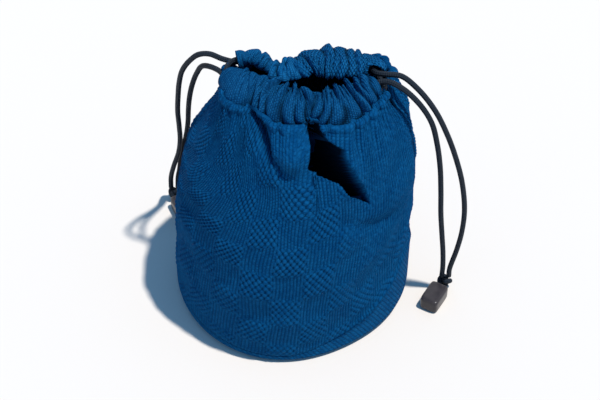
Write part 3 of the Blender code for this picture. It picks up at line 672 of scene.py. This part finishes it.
folds = {  # depths in metres, angles and spreads in degrees, heights as shares of the wall's height
    "ledge": (  # the hollow's floor: angle, then share
        (6, 0.873), (10, 0.858), (16, 0.845), (19.5, 0.837), (22, 0.825), (24.5, 0.807), (26.5, 0.769),
        (31.5, 0.729), (38, 0.665),
    ),
    "leftEdge": (  # the hollow's sides: share, then angle
        (0.85, 7.0), (0.87, 7.2), (0.905, 8.2), (0.94, 8.2), (0.98, 7.2), (1.0, 6.4),
    ),
    "rightEdge": (
        (0.672, 36.8), (0.758, 33.6), (0.834, 30.1), (0.896, 27.6), (0.928, 26.6), (0.952, 22.1),
        (0.972, 19.6), (1.0, 18.0),
    ),
    "leftBorder": (-2.0, 0.5),  # degrees over which each side goes in
    "rightBorder": (-1.5, 2.0),
    "ledgeBorders": (0.020, 0.035, 0.030),  # of the painted shade, of the pocket, and where it climbs again
    "shadeFrom": (0.03, 0.15),
    "hollowReach": 0.0120,  # how far from the pouch's axis the hollow's bottom lies
    "hollowDrop": 0.0380,
    "topBorder": (0.0, 0.004),
    "creaseLine": (-27.5, 150),  # angle at the top, and degrees to the right over the whole height
    "crease": (0.0080, 6.0),  # depth and spread
    "creaseTop": (0.82, 0.93),
    "creaseShade": (0.5, 3.0),  # share of painted shade, and spread
    "creaseShadeTop": (0.84, 0.93),
    "lobe": (0.0060, 0, 8, 0.925, 0.050),  # depth, angle, spread, height, spread
    "gathers": 0.0010,
    "gathersTop": (0.80, 0.97),
    "calm": (0.8, -72, 36),  # where there are fewer gathers
    "sideCrease": (0.0024, 0.646, 0.0046, 19.5, 0.035),  # depth, height, fall a degree and from where, spread
    "sideCreaseFrom": (14, 35),
    "sideCreaseTo": (46, 66),
    "shoulder": (0.0030, 128, 28, 0.86, 0.13),
    "backCrease": (0.0060, 185, 9),
    "backCreaseTop": (0.78, 0.97),
    "slack": 0.0012,
    "slackWaves": ((1.0, 0.11, 14, 21), (0.6, 0.21, 26, 22)),  # size, waves a degree, waves up, seed
    "slackFrom": (0.05, 0.25),
}
checks = {  # in squares
    "start": (0.66, 0.48),
    "lean": 0.09,  # to the left for each square up
    "aslantFrom": 0.8,  # how far left of the front the weave is drawn aslant
    "aslantRise": (3.2, 5.5),
    "aslant": (0.20, 0.50),  # sideways and upwards for each square further left
    "wander": ((0.9, 0.07), (3, 0.02)),  # waves to a square, and size
    "relief": 0.0006,  # in metres, of a square, a pebble and a rib
    "pebbleRelief": 0.0010,
    "ribRelief": 0.0006,
    "sunk": 0.0004,
    "sharp": 7,  # how fast pebbles change to ribs
    "raised": 2.5,  # how fast a square rises at its edge
    "plain": 0.7,  # how much of the pebbles is gone at the right of the front and on the lobe
    "plainFrom": (14, 34),
    "plainTo": (96, 120),
    "plainRise": (1, 3),
    "lobe": (-1, 9),  # angle and spread
    "lobeRise": (0.86, 0.92),
    "lowShare": 0.8,  # how much of them there is near the base
    "lowRise": (1.5, 4),
    "baseBorder": (0.0, 0.25),
    "topBorder": (0.0030, 0.0065),  # in metres
}


def lappedSide(gather, angles):
    # 1 where the panel is sewn outside the casing's lower edge, -1 where it goes under it, at the back.
    if gather is frontCasing["gather"]:
        return np.ones_like(angles)
    first, under, over, last = wall["underCasing"]
    return 1 - 2 * ease(angles, first, under) + 2 * ease(angles, over, last)


def seamLine(gather, angles):
    # The panel's top edge: a point on the casing's oval near its lower edge, and a seam gap off it.
    middle, across, outward, (halfWidth, outer, inner) = casingFrame(gather, angles)
    side = lappedSide(gather, angles)
    thick = np.where(side > 0, outer, inner)
    turn = side * np.arccos(np.clip(1 - wall["tuck"] / halfWidth, 0, 1))
    off = wall["seamGap"] + wall["cloth"] * np.clip(side, 0, 1)
    off = off + wall["pinchSlack"] * bell(angles, *wall["pinchAt"])
    away = unit(np.stack([np.cos(turn) / halfWidth, np.sin(turn) / thick], axis=-1))
    down = halfWidth * np.cos(turn) + off * away[:, 0]
    out = thick * np.sin(turn) + off * away[:, 1]
    return middle - down[:, None] * across + out[:, None] * outward


def sideSeamShift(gather, angles, top):
    # Each top corner's way to the middle between the two panels' corners, fading along the edge.
    other = backCasing["gather"] if gather is frontCasing["gather"] else frontCasing["gather"]
    far = seamLine(other, evenAngles(other, channel["carriedStations"]))
    fade = wall["cornerFade"][0]
    start = (1 - ease(angles, angles[0], angles[0] + fade))[:, None] * (far[-1] - top[0]) / 2
    return start + ease(angles, angles[-1] - fade, angles[-1])[:, None] * (far[0] - top[-1]) / 2


def baseCornerHeight(angle):
    # The lip's height: the front, back and side heights weighed by the squares of cosine and sine.
    turn = np.radians(angle)
    front, back = np.clip(np.cos(turn), 0, 1) ** 2, np.clip(-np.cos(turn), 0, 1) ** 2
    return wall["seamFront"] * front + wall["seamBack"] * back + wall["seamSide"] * np.sin(turn) ** 2


def baseSeamHeight(angle):
    # The lip's height and the table's rise at the angle, brought to -180..180.
    return baseCornerHeight(angle) + byTable((np.asarray(angle) + 180) % 360 - 180, wall["seamRise"])


def frontFlat(angle):
    # A bell over the angle.
    depth, middle, spread = wall["frontFlat"]
    return depth * bell(angle, middle, spread)


def hollowAt(angle, share):
    # The outside fold's pocket: 1 between its left and right edges and above its slanting ledge, with eased
    # borders. Past the ledge the cloth first falls and then climbs again. Also where shade is painted into the
    # colour.
    ledge = byTable(angle, folds["ledge"])
    leftEdge, rightEdge = byTable(share, folds["leftEdge"]), byTable(share, folds["rightEdge"])
    pocket = ease(angle - leftEdge, *folds["leftBorder"]) * (1 - ease(angle - rightEdge, *folds["rightBorder"]))
    shadeBorder, deep, climbs = folds["ledgeBorders"]
    # Shade is painted into the colour inside the pocket, just past the ledge.
    paintedShadeMask = ease(pocket * ease(share, ledge, ledge + shadeBorder), *folds["shadeFrom"])
    pocket = pocket * ease(share, ledge, ledge + deep) * ease(1 - share, *folds["topBorder"])
    return pocket, pocket * (1 - ease(share, ledge + climbs, 1.0)), paintedShadeMask


def foldIn(angle, share, reach):
    # How far the cloth is drawn in and down: the hollow to its own reach, then creases, humps and gathers, each
    # a bell or a sine over the angle times an ease or a bell over the height, and a slack of two ripples.
    pocket, drop, paintedShadeMask = hollowAt(angle, share)
    drawnIn = (reach - folds["hollowReach"]) * pocket
    line = folds["creaseLine"][0] + (1 - share) * folds["creaseLine"][1]
    depth, spread = folds["crease"]
    drawnIn = drawnIn + depth * bell(angle, line, spread) * ease(share, *folds["creaseTop"])
    # Shade is painted into the colour along the crease.
    dark, spread = folds["creaseShade"]
    paintedShadeMask = np.maximum(paintedShadeMask, dark * bell(angle, line, spread) * ease(share, *folds["creaseShadeTop"]))
    for label in ("lobe", "shoulder"):
        depth, middle, spread, height, tall = folds[label]
        drawnIn = drawnIn - depth * bell(angle, middle, spread) * bell(share, height, tall)
    gathers = np.sin(0.62 * angle + 5 * share) + 0.6 * np.sin(1.07 * angle + 2)
    less, middle, spread = folds["calm"]
    gathers = gathers * ease(share, *folds["gathersTop"]) * (1 - less * bell(angle, middle, spread))
    drawnIn = drawnIn + folds["gathers"] * gathers * (1 - pocket)
    depth, height, fall, middle, spread = folds["sideCrease"]
    side = ease(angle, *folds["sideCreaseFrom"]) * (1 - ease(angle, *folds["sideCreaseTo"]))
    drawnIn = drawnIn + depth * side * bell(share, height - fall * (angle - middle), spread)
    depth, middle, spread = folds["backCrease"]
    drawnIn = drawnIn + depth * bell(angle, middle, spread) * ease(share, *folds["backCreaseTop"])
    slack = sum(size * ripple(a * angle, b * share, seed) for size, a, b, seed in folds["slackWaves"])
    drawnIn = drawnIn + folds["slack"] * slack * ease(share, *folds["slackFrom"])
    return drawnIn, folds["hollowDrop"] * drop, paintedShadeMask


def wallReach():
    # The shape table, and the mouth's reach on the left, right, front and back with some room round it.
    mouths = []
    for casing in (frontCasing, backCasing):
        mouths.append(casingFrame(casing["gather"], np.array([row[0] for row in casing["gather"]], float))[0])
    front, back = mouths
    ends = np.array([-front[:, 0].min(), front[:, 0].max(), -front[:, 1].min(), back[:, 1].max()])
    return np.array(wall["shape"]), ends + wall["mouthRoom"] * np.array(wall["mouthRoomShares"])


def wallPoints(gather, angles, shares, folded=True):
    # Rings of quarter ellipses whose four reaches shrink with height. Above the closing share they move to the
    # seam line, and the side seams part in the slit. The folds draw them in along the way out from the axis.
    turn, share = np.radians(angles)[None, :], shares[:, None]
    table, ends = wallReach()
    drawn = through(shares, table[:, 0], table[:, 1:])
    reaches = wall["baseRadius"] + (ends - wall["baseRadius"]) * drawn
    left, right, front, back = (reach[:, None] for reach in reaches.T)
    wide = np.where(np.sin(turn) < 0, left, right)
    deep = np.where(np.cos(turn) > 0, front, back)
    low = baseSeamHeight(angles)[None, :]
    top = seamLine(gather, angles)
    sewn = top + sideSeamShift(gather, angles, top)
    height = low + (sewn[None, :, 2] - low) * share
    points = np.stack([wide * np.sin(turn), -deep * np.cos(turn), height], axis=-1)
    closing = ease(share, wall["closing"], 1.0)[..., None]
    slit = ease(share, 1 - wall["slit"] / channel["seamHeight"], 1.0)[..., None]
    parting = np.where(np.sin(turn) < 0, *wall["parting"])[..., None]
    points = points + closing * (sewn[None] - points[-1:]) + parting * slit * (top - sewn)[None]
    radial = np.stack([np.sin(turn), -np.cos(turn), np.zeros_like(turn)], axis=-1)
    points -= (frontFlat(angles)[None, :] * (1 - ease(share, *wall["flatFades"])))[..., None] * radial
    # The two top corners at the left are drawn up round the casing's open end.
    corner = gather[0][0] if gather is frontCasing["gather"] else gather[-1][0]
    near = 1 - ease(np.abs(angles - corner), 0, wall["cornerFade"][1])[None, :]
    near = near * ease(share, wall["liftFrom"], 1.0)
    points = points + near[..., None] * np.array(wall["leftCornerLift"])
    # The third result marks where shade is painted into the colour.
    inward, down, paintedShadeMask = foldIn(angles[None, :], share, (points * radial).sum(axis=-1))
    if folded:
        points -= (inward * ease(1 - share, 0.0, wall["heldTop"]))[..., None] * radial
        points[..., 2] -= down
    return points, paintedShadeMask


def lieOfChecks(turns, rise, isFront, seed):
    # Each point's place in the weave, in squares: its way round and up, leaning with the height, drawn aslant
    # at the upper left of the front, and wandering by two ripples.
    aslant = np.clip(-turns - checks["aslantFrom"], 0, 4) * ease(rise, *checks["aslantRise"]) * isFront
    across = turns + checks["start"][0] - checks["lean"] * (rise - 4)
    across = across - checks["aslant"][0] * aslant * ease(rise, 3.5, 6)
    up = rise + checks["start"][1] + checks["aslant"][1] * aslant
    for k, (waves, size) in enumerate(checks["wander"]):
        across = across + size * ripple(waves * turns, waves * rise, seed + k)
        up = up + size * ripple(waves * turns, waves * rise, seed + 2 + k)
    return across, up


def makePanel(name, gather, node, material, seed):
    # The folded wall, pushed out along its normal by the raised squares, their pebbles or ribs, the welt along
    # the casing and the one above the base. The lining is the folded wall alone, a cloth's thickness in.
    isFront = node == "front_panel"
    degreesPerRib = math.degrees(wall["square"] / weave["ribs"] / wall["baseRadius"])
    every = wall["liningEvery"]
    columns = int(round((gather[-1][0] - gather[0][0]) / degreesPerRib * wall["ribColumns"] / every)) * every
    sideways = math.degrees(wall["sideGap"] / 2 / wall["baseRadius"])
    angles = np.linspace(gather[0][0] + sideways, gather[-1][0] - sideways, columns + 1)
    shares = np.linspace(0, 1, wall["rows"] + 1) ** wall["rowPower"]
    flat, paintedShadeMask = wallPoints(gather, angles, shares)
    height = surfaceHeight(wallPoints(gather, angles, shares, folded=False)[0])
    turns = np.broadcast_to(np.radians(angles)[None, :] * wall["baseRadius"] / wall["square"], height.shape)
    rise, left = height / wall["square"], height[-1:] - height
    across, up = lieOfChecks(turns, rise, isFront, seed)
    checker = np.sin(math.pi * across) * np.sin(math.pi * up)
    right = ease(angles, *checks["plainFrom"]) * (1 - ease(angles, *checks["plainTo"])) * isFront
    onLobe = bell(angles, *checks["lobe"])[None, :] * ease(shares, *checks["lobeRise"])[:, None] * isFront
    pebbled = np.clip(checker * checks["sharp"] + 0.5, 0, 1)
    pebbled = pebbled * (1 - checks["plain"] * right[None, :] * ease(rise, *checks["plainRise"]))
    pebbled = pebbled * (checks["lowShare"] + (1 - checks["lowShare"]) * ease(rise, *checks["lowRise"]))
    pebbled = pebbled * (1 - checks["plain"] * onLobe)
    relief = pebbled * checks["pebbleRelief"] * pebbleHeight(across, up)
    relief = (relief + (1 - pebbled) * checks["ribRelief"] * ribHeight(across)) * (1 - paintedShadeMask) - checks["sunk"]
    relief = relief + checks["relief"] / 2 * np.clip(checker * checks["raised"], -1, 1)
    push = relief * ease(rise, *checks["baseBorder"]) * ease(left, *checks["topBorder"])
    welt = halfRound(left, wall["weltWidth"]) * np.clip(lappedSide(gather, angles), 0, 1)[None, :]
    push = push + wall["welt"] * welt * (1 - paintedShadeMask)
    stands, wide = wall["lowWelt"]
    push = push + stands * halfRound(height, wide) * bell(angles, *wall["lowWeltAt"])[None, :]
    points, uv = flat + push[..., None] * surfaceNormals(flat), np.stack([across, up], axis=-1)
    lining = (flat - wall["cloth"] * surfaceNormals(flat))[::every, ::every]
    mesh = linedGridMesh(name, points, uv, lining, uv[::every, ::every], every, pebbled, paintedShadeMask)
    obj = place(name, mesh, material)
    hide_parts(node)


base = {
    "flatRadius": 0.0630,
    "cloth": 0.0016,
    "lip": 0.0020,
    "rings": 26,
    "cornerRings": 10,
    "uprightRings": 12,
    "segments": 288,
    "roomShare": 0.15,
    "weaveSlant": 0.7,
    "weaveSize": 1.4,
    "look": {
        "colour": (0.0010, 0.072, 0.208, 1),
        "worn": (0.0040, 0.112, 0.284, 1),
        # deep is the painted shade in the weave's grooves, and the number after it how strong it is.
        "deep": (0.0003, 0.017, 0.058, 1),
        "grooveShade": 0.70,
        "relief": 0.0010,
    },
}


def makeBase(material):
    # Flat rings out to the flat radius, a quarter ellipse up to the lip, and upright rings on to the seam.
    angles = np.linspace(0, 360, base["segments"], endpoint=False)
    turn = np.radians(angles)
    table = wallReach()[0]
    mouthRight = max(row[1][0] for row in frontCasing["gather"]) / 1000 + base["roomShare"] * wall["mouthRoom"]
    right = wall["baseRadius"] + (mouthRight - wall["baseRadius"]) * table[0][2]
    reach = np.where(np.sin(turn) < 0, wall["baseRadius"], right)
    corner = baseCornerHeight(angles) - wall["seamGap"] - base["lip"]
    upright = baseSeamHeight(angles) - wall["seamGap"] - corner
    pushed = frontFlat(np.where(angles > 180, angles - 360, angles))
    radius = np.linspace(0.02, 1, base["rings"])[:, None] * (base["flatRadius"] - pushed)
    flat = np.stack([radius * np.sin(turn), -radius * np.cos(turn), 0 * radius], axis=-1)
    bends, rises = base["cornerRings"], base["uprightRings"]
    swing = np.append(np.arange(1, bends + 1) / bends, np.ones(rises))[:, None] * math.pi / 2
    rise = np.append(np.zeros(bends), np.arange(1, rises + 1) / rises)[:, None]
    sideways = base["flatRadius"] + (reach - base["flatRadius"]) * np.sin(swing) - pushed
    deep = base["flatRadius"] + (wall["baseRadius"] - base["flatRadius"]) * np.sin(swing) - pushed
    height = corner * (1 - np.cos(swing)) + upright * rise
    side = np.stack([sideways * np.sin(turn), -deep * np.cos(turn), height], axis=-1)
    grid = np.concatenate([flat, side])
    ringLength = surfaceHeight(np.concatenate([grid, grid[:, :1]], axis=1))
    slanted = np.append(turn, 2 * math.pi)[None, :] * wall["baseRadius"] + base["weaveSlant"] * ringLength
    uv = np.stack([slanted, ringLength], axis=-1) / wall["square"] / base["weaveSize"]
    mesh = gridMesh("basePanel", grid, uv, closed=True)
    work = bmesh.new()
    work.from_mesh(mesh)
    hole = [e for e in work.edges if e.is_boundary and e.verts[0].co.length < 0.01]
    bmesh.ops.contextual_create(work, geom=hole)
    bmesh.ops.recalc_face_normals(work, faces=work.faces)
    if min(work.faces, key=lambda face: face.calc_center_median().length).normal.z > 0:
        bmesh.ops.reverse_faces(work, faces=work.faces)
    work.to_mesh(mesh)
    work.free()
    obj = place("basePanel", mesh, material)
    lined(obj, base["cloth"])
    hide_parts("base_panel")


cord = {
    "diameter": 0.0030,
    "clearance": 0.0003,
    "lanesApart": 0.0037,
    "sides": 14,
    "steps": 420,
    "braidLength": 0.0024,
    "braidStrands": 4,
    "braidRelief": 0.0003,
    "right": {
        "outer": (
            (0.0912, -0.0105, 0.0180), (0.0940, -0.0120, 0.0370), (0.0955, -0.0125, 0.0520),
            (0.0955, -0.0125, 0.0690), (0.0925, -0.0125, 0.0900), (0.0875, -0.0125, 0.1090),
            (0.0815, -0.0120, 0.1260), (0.0740, -0.0110, 0.1420), (0.0650, -0.0080, 0.1535),
            (0.0560, -0.0035, 0.1590), (0.0480, -0.0008, 0.1580), (0.0432, 0.0018, 0.1568),
        ),
        "turn": (
            (-0.0327, 0.0114, 0.1566), (-0.0347, 0.0093, 0.1560), (-0.0354, 0.0065, 0.1553),
        ),
        "inner": (
            (0.0480, -0.0050, 0.1568), (0.0560, -0.0088, 0.1555), (0.0650, -0.0120, 0.1480),
            (0.0725, -0.0125, 0.1350), (0.0765, -0.0125, 0.1200), (0.0795, -0.0125, 0.1020),
            (0.0812, -0.0125, 0.0840), (0.0825, -0.0125, 0.0660), (0.0845, -0.0120, 0.0480),
            (0.0862, -0.0110, 0.0330), (0.0872, -0.0098, 0.0190),
        ),
        "beadCentre": (0.0824, -0.0207),
        "beadTurn": 239.8,
        "side": 1,
    },
    "left": {
        "outer": (
            (-0.0762, 0.0650, 0.0190), (-0.0735, 0.0602, 0.0330), (-0.0692, 0.0550, 0.0500),
            (-0.0672, 0.0500, 0.0650), (-0.0666, 0.0447, 0.0800), (-0.0662, 0.0390, 0.0970),
            (-0.0648, 0.0335, 0.1130), (-0.0630, 0.0280, 0.1280), (-0.0605, 0.0235, 0.1400),
            (-0.0560, 0.0195, 0.1500), (-0.0505, 0.0165, 0.1570), (-0.0445, 0.0145, 0.1590),
            (-0.0375, 0.0137, 0.1562),
        ),
        "turn": (
            (0.0456, 0.0024, 0.1514), (0.0476, -0.0012, 0.1506), (0.0464, -0.0048, 0.1509),
        ),
        "inner": (
            (-0.0387, 0.0078, 0.1523), (-0.0430, 0.0118, 0.1520), (-0.0488, 0.0185, 0.1475),
            (-0.0528, 0.0250, 0.1370), (-0.0560, 0.0300, 0.1250), (-0.0584, 0.0350, 0.1120),
            (-0.0602, 0.0410, 0.0970), (-0.0614, 0.0465, 0.0830), (-0.0632, 0.0515, 0.0690),
            (-0.0660, 0.0560, 0.0540), (-0.0688, 0.0615, 0.0390), (-0.0706, 0.0648, 0.0260),
            (-0.0720, 0.0662, 0.0180),
        ),
        "beadCentre": (-0.0690, 0.0530),
        "beadTurn": 293.8,
        "side": -1,
    },
    "look": {
        "colour": (0.010, 0.016, 0.025, 1),
        "worn": (0.022, 0.033, 0.048, 1),
        "roughness": 0.6,
        "specular": 0.14,
        "wax": 260,
        "bump": 0.6,
    },
}
knot = {
    "radius": 0.0046,
    "halfLength": 0.0050,
    "size": 0.00103,
    "stretch": 1.6,  # how far the trefoil reaches along the cord, in sizes
    "steps": 121,
    "braidLength": 0.003,
}
bead = {
    "length": 0.0170,
    "width": 0.0112,
    "thickness": 0.0094,
    "squareness": 0.30,  # 0 is a plain block and 1 an egg
    "rings": 49,
    "segments": 72,
    "look": {
        "colour": (0.020, 0.018, 0.022, 1),
        "grain": (0.062, 0.052, 0.056, 1),
        "grainSize": (300, 5),  # scale and detail
        "roughness": 0.30,
        "specular": 0.25,
        "coat": (0.1, 0.15),  # weight and roughness
    },
}


def insideCasing(gather, side, reverse):
    # The cord's lane in a casing: the centre line shifted half a lane towards the rim or the seam.
    angles = evenAngles(gather, channel["carriedStations"])
    middle, across, outward, (_, outer, inner) = casingFrame(gather, angles)
    line = middle + side * cord["lanesApart"] / 2 * across + ((outer - inner) / 2)[:, None] * outward
    return line[::4][::-1] if reverse else line[::4]


def beadFrame(side):
    # The bead's middle, half its thickness above the floor, and the way from its knot.
    turn = math.radians(side["beadTurn"])
    middle = np.array([*side["beadCentre"], bead["thickness"] / 2])
    return middle, np.array([math.cos(turn), math.sin(turn), 0.0])


def knotCentre(side):
    # Behind the bead by half of both and a gap, and its own radius above the floor.
    middle, way = beadFrame(side)
    spot = middle - way * (bead["length"] / 2 + wall["seamGap"] + knot["halfLength"])
    return np.array([spot[0], spot[1], knot["radius"] + wall["seamGap"]])


def cordRoute(side):
    # Knot, outer strand, back casing, the other end's turn, front casing, inner strand, knot: a smooth curve
    # through all of their points, with knots set apart by the roots of the steps.
    top = knotCentre(side)
    apart = side["side"] * (0.5 * cord["diameter"] + 2 * cord["clearance"])
    height = top[2] + knot["radius"] + cord["clearance"]
    reverse = side["side"] < 0
    parts = (
        [(top[0] + apart, top[1], height)],
        side["outer"],
        insideCasing(backCasing["gather"], side["side"], reverse),
        side["turn"],
        insideCasing(frontCasing["gather"], side["side"], reverse),
        side["inner"],
        [(top[0] - apart, top[1], height)],
    )
    route = np.concatenate([np.asarray(part, float) for part in parts])
    knots = np.concatenate([[0], np.cumsum(np.sqrt(stepLengths(route)))])
    fine = through(np.linspace(0, knots[-1], 3000), knots, route)
    even, share = np.linspace(0, 1, cord["steps"]), sharesAlong(fine)
    return np.stack([np.interp(even, share, fine[:, k]) for k in range(3)], axis=1), stepLengths(fine).sum()


def tubeAlong(name, line, radius, braidLength):
    # Circles square to the path, turned by the shortest way from each to the next so that they don't twist.
    ahead = unit(np.gradient(line, axis=0))
    across = np.zeros_like(line)
    start = upwards if abs(ahead[0][2]) < 0.9 else np.array([1.0, 0.0, 0.0])
    across[0] = unit(start - start.dot(ahead[0]) * ahead[0])
    for k in range(1, len(line)):
        step = across[k - 1] - across[k - 1].dot(ahead[k]) * ahead[k]
        across[k] = step / np.linalg.norm(step)
    beside = np.cross(ahead, across)
    turn = np.linspace(0, 2 * math.pi, cord["sides"], endpoint=False)[None, :, None]
    points = line[:, None] + radius * (np.cos(turn) * across[:, None] + np.sin(turn) * beside[:, None])
    walked = np.concatenate([[0], np.cumsum(stepLengths(line))])[:, None]
    around = np.linspace(0, 1, cord["sides"] + 1)[None, :]
    uv = np.stack(np.broadcast_arrays(around, walked / braidLength), axis=-1)
    mesh = gridMesh(name, points, uv, closed=True)
    closeEnds(mesh)
    return mesh


def cordMaterial():
    # A braid: the product of two sines that wind round the cord in opposite ways, under patches of wax.
    look = cord["look"]
    made, tree, shader = newMaterial("waxedCord", look["roughness"], look["specular"])
    parts = nodeAt(tree, "ShaderNodeSeparateXYZ")
    tree.links.new(nodeAt(tree, "ShaderNodeUVMap", uv_map="weave").outputs[0], parts.inputs[0])
    onward = mathNode(tree, "MULTIPLY", parts.outputs[1], 2 * math.pi)
    spirals, strands = [], 2 * math.pi * cord["braidStrands"]
    for turns in (strands, -strands):
        wound = mathNode(tree, "MULTIPLY_ADD", parts.outputs[0], turns, onward)
        spirals.append(mathNode(tree, "SINE", wound))
    braid = mathNode(tree, "MULTIPLY", *spirals)
    wax = noiseAt(tree, nodeAt(tree, "ShaderNodeTexCoord").outputs["Object"], look["wax"])
    factor = mathNode(tree, "MULTIPLY", wax, mathNode(tree, "MULTIPLY_ADD", braid, 0.35, 0.65))
    tree.links.new(mixColour(tree, factor, look["colour"], look["worn"]), shader.inputs["Base Color"])
    bumpInto(tree, shader, braid, look["bump"], cord["braidRelief"])
    return made


def beadMaterial():
    # Two dark colours mixed by a fine noise, under a thin coat.
    look = bead["look"]
    made, tree, shader = newMaterial("polishedBead", look["roughness"], look["specular"])
    grain = noiseAt(tree, nodeAt(tree, "ShaderNodeTexCoord").outputs["Object"], *look["grainSize"])
    tree.links.new(mixColour(tree, grain, look["colour"], look["grain"]), shader.inputs["Base Color"])
    shader.inputs["Coat Weight"].default_value, shader.inputs["Coat Roughness"].default_value = look["coat"]
    return made


def makeKnot(name, side, node, material):
    # A trefoil path, drawn tight round the way to the bead, carried by a cord-thick tube. The trefoil is
    # sin t + 2 sin 2t, cos t - 2 cos 2t and -sin 3t.
    way = beadFrame(side)[1]
    beside = np.array([-way[1], way[0], 0.0])
    t, size = np.linspace(0, 2 * math.pi, knot["steps"])[:, None], knot["size"]
    line = knotCentre(side) - knot["stretch"] * size * np.sin(3 * t) * way
    line = line + size * (np.sin(t) + 2 * np.sin(2 * t)) * beside
    line = line + size * (np.cos(t) - 2 * np.cos(2 * t)) * upwards
    obj = place(name, tubeAlong(name, line, cord["diameter"] / 2, knot["braidLength"]), material)
    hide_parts(node)
    return obj


def makeBead(name, side, node, material):
    # A rounded block: sines and cosines brought near 1 by a small power, so that its faces stay nearly flat.
    def bend(value):
        # A small power of the value's size, with its sign.
        return np.sign(value) * np.abs(value) ** bead["squareness"]

    middle, way = beadFrame(side)
    beside = np.array([-way[1], way[0], 0.0])
    tilt = np.linspace(0.001, math.pi - 0.001, bead["rings"])[:, None]
    turn = np.linspace(0, 2 * math.pi, bead["segments"], endpoint=False)[None, :]
    long = bead["length"] / 2 * bend(np.cos(tilt))
    wide = bead["width"] / 2 * bend(np.sin(tilt)) * bend(np.cos(turn))
    high = bead["thickness"] / 2 * bend(np.sin(tilt)) * bend(np.sin(turn))
    points = middle + long[..., None] * way + wide[..., None] * beside + high[..., None] * upwards
    closed = np.append(turn, 2 * math.pi)[None, :]
    mesh = gridMesh(name, points, np.stack(np.broadcast_arrays(closed, tilt), axis=-1), closed=True)
    closeEnds(mesh)
    obj = place(name, mesh, material)
    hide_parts(node)
    return obj


def makeCord(name, side, node, material):
    # The tube along the route, with its own ends in the knot.
    line, length = cordRoute(side)
    obj = place(name, tubeAlong(name, line, cord["diameter"] / 2, cord["braidLength"]), material)
    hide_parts(node)
    print(name, round(length, 3), "m")


camera = {"place": (0.0, -0.6022, 0.6688), "tilt": 42.0, "lens": 90.0, "shift": (0.01, 0.1267)}


def makeCamera():
    # A long lens straight from the front, looking down. The shift puts the pouch where the picture has it.
    made = bpy.data.cameras.new("camera")
    made.lens, made.sensor_width = camera["lens"], 36.0
    made.shift_x, made.shift_y = camera["shift"]
    obj = bpy.data.objects.new("camera", made)
    obj.location = camera["place"]
    obj.rotation_euler = (math.radians(camera["tilt"]), 0, 0)
    bpy.context.scene.collection.objects.link(obj)
    bpy.context.scene.camera = obj


makeCamera()
waxed = cordMaterial()
polished = beadMaterial()
for sideName in ("right", "left"):
    side = cord[sideName]
    pieces = [
        makeKnot(sideName + "Knot", side, sideName + "_knot", waxed),
        makeBead(sideName + "Bead", side, sideName + "_bead", polished),
    ]
    makeCord(sideName + "Drawcord", side, sideName + "_drawcord", waxed)
print("cords made")

wallCloth = clothMaterial("indigoWall", wall["look"])
casingCloth = clothMaterial("indigoCasing", frontCasing["look"])
backCasingCloth = clothMaterial("indigoBackCasingPaintedLight", backCasing["look"])
baseCloth = clothMaterial("indigoBase", base["look"])
makePanel("frontPanel", frontCasing["gather"], "front_panel", wallCloth, 3)
makePanel("backPanel", backCasing["gather"], "back_panel", wallCloth, 4)
makeBase(baseCloth)
print("wall and base made")
makeCasing("frontCasing", frontCasing, "front_casing", casingCloth)
makeCasing("backCasing", backCasing, "back_casing", backCasingCloth)
print("casings made")

studio = {
    "floor": (1.0, 0.89, 0.77, 1),
    "floorHalf": 4.0,
    "sun": 2.9,
    "sunWidth": 2.5,  # degrees
    "toSun": (0.30, -0.10, 1.0),
    "fill": (0.24, 0.54, 1.0, 1),
    "fillStrength": 0.45,
}


def makeStudio():
    # A pale floor, a sun, and a blue sky that the camera and reflections see as white.
    size = studio["floorHalf"]
    corners = [(-size, -size, 0), (size, -size, 0), (size, size, 0), (-size, size, 0)]
    floorMesh = bpy.data.meshes.new("floor")
    floorMesh.from_pydata(corners, [], [(0, 1, 2, 3)])
    floor = bpy.data.objects.new("floor", floorMesh)
    bpy.context.scene.collection.objects.link(floor)
    paper, _, shader = newMaterial("paleFloor", 1.0, 0.0)
    shader.inputs["Base Color"].default_value = studio["floor"]
    floorMesh.materials.append(paper)
    lamp = bpy.data.lights.new("keyLight", "SUN")
    lamp.energy, lamp.angle = studio["sun"], math.radians(studio["sunWidth"])
    key = bpy.data.objects.new("keyLight", lamp)
    bpy.context.scene.collection.objects.link(key)
    toSun = unit(np.array(studio["toSun"]))
    key.rotation_euler = (math.acos(toSun[2]), 0, math.atan2(toSun[0], -toSun[1]))
    world = bpy.data.worlds.new("studio")
    world.use_nodes = True
    tree = world.node_tree
    sky = tree.nodes["Background"]
    sky.inputs[0].default_value, sky.inputs[1].default_value = studio["fill"], studio["fillStrength"]
    white = nodeAt(tree, "ShaderNodeBackground")
    white.inputs[0].default_value = (1, 1, 1, 1)
    mixed = nodeAt(tree, "ShaderNodeMixShader")
    path = nodeAt(tree, "ShaderNodeLightPath")
    seen = mathNode(tree, "MAXIMUM", path.outputs["Is Camera Ray"], path.outputs["Is Glossy Ray"])
    for slot, value in zip(mixed.inputs, (seen, sky.outputs[0], white.outputs[0])):
        tree.links.new(value, slot)
    tree.links.new(mixed.outputs[0], tree.nodes["World Output"].inputs[0])
    bpy.context.scene.world = world
    bpy.context.scene.view_settings.view_transform = "Standard"


makeStudio()
print("studio made")
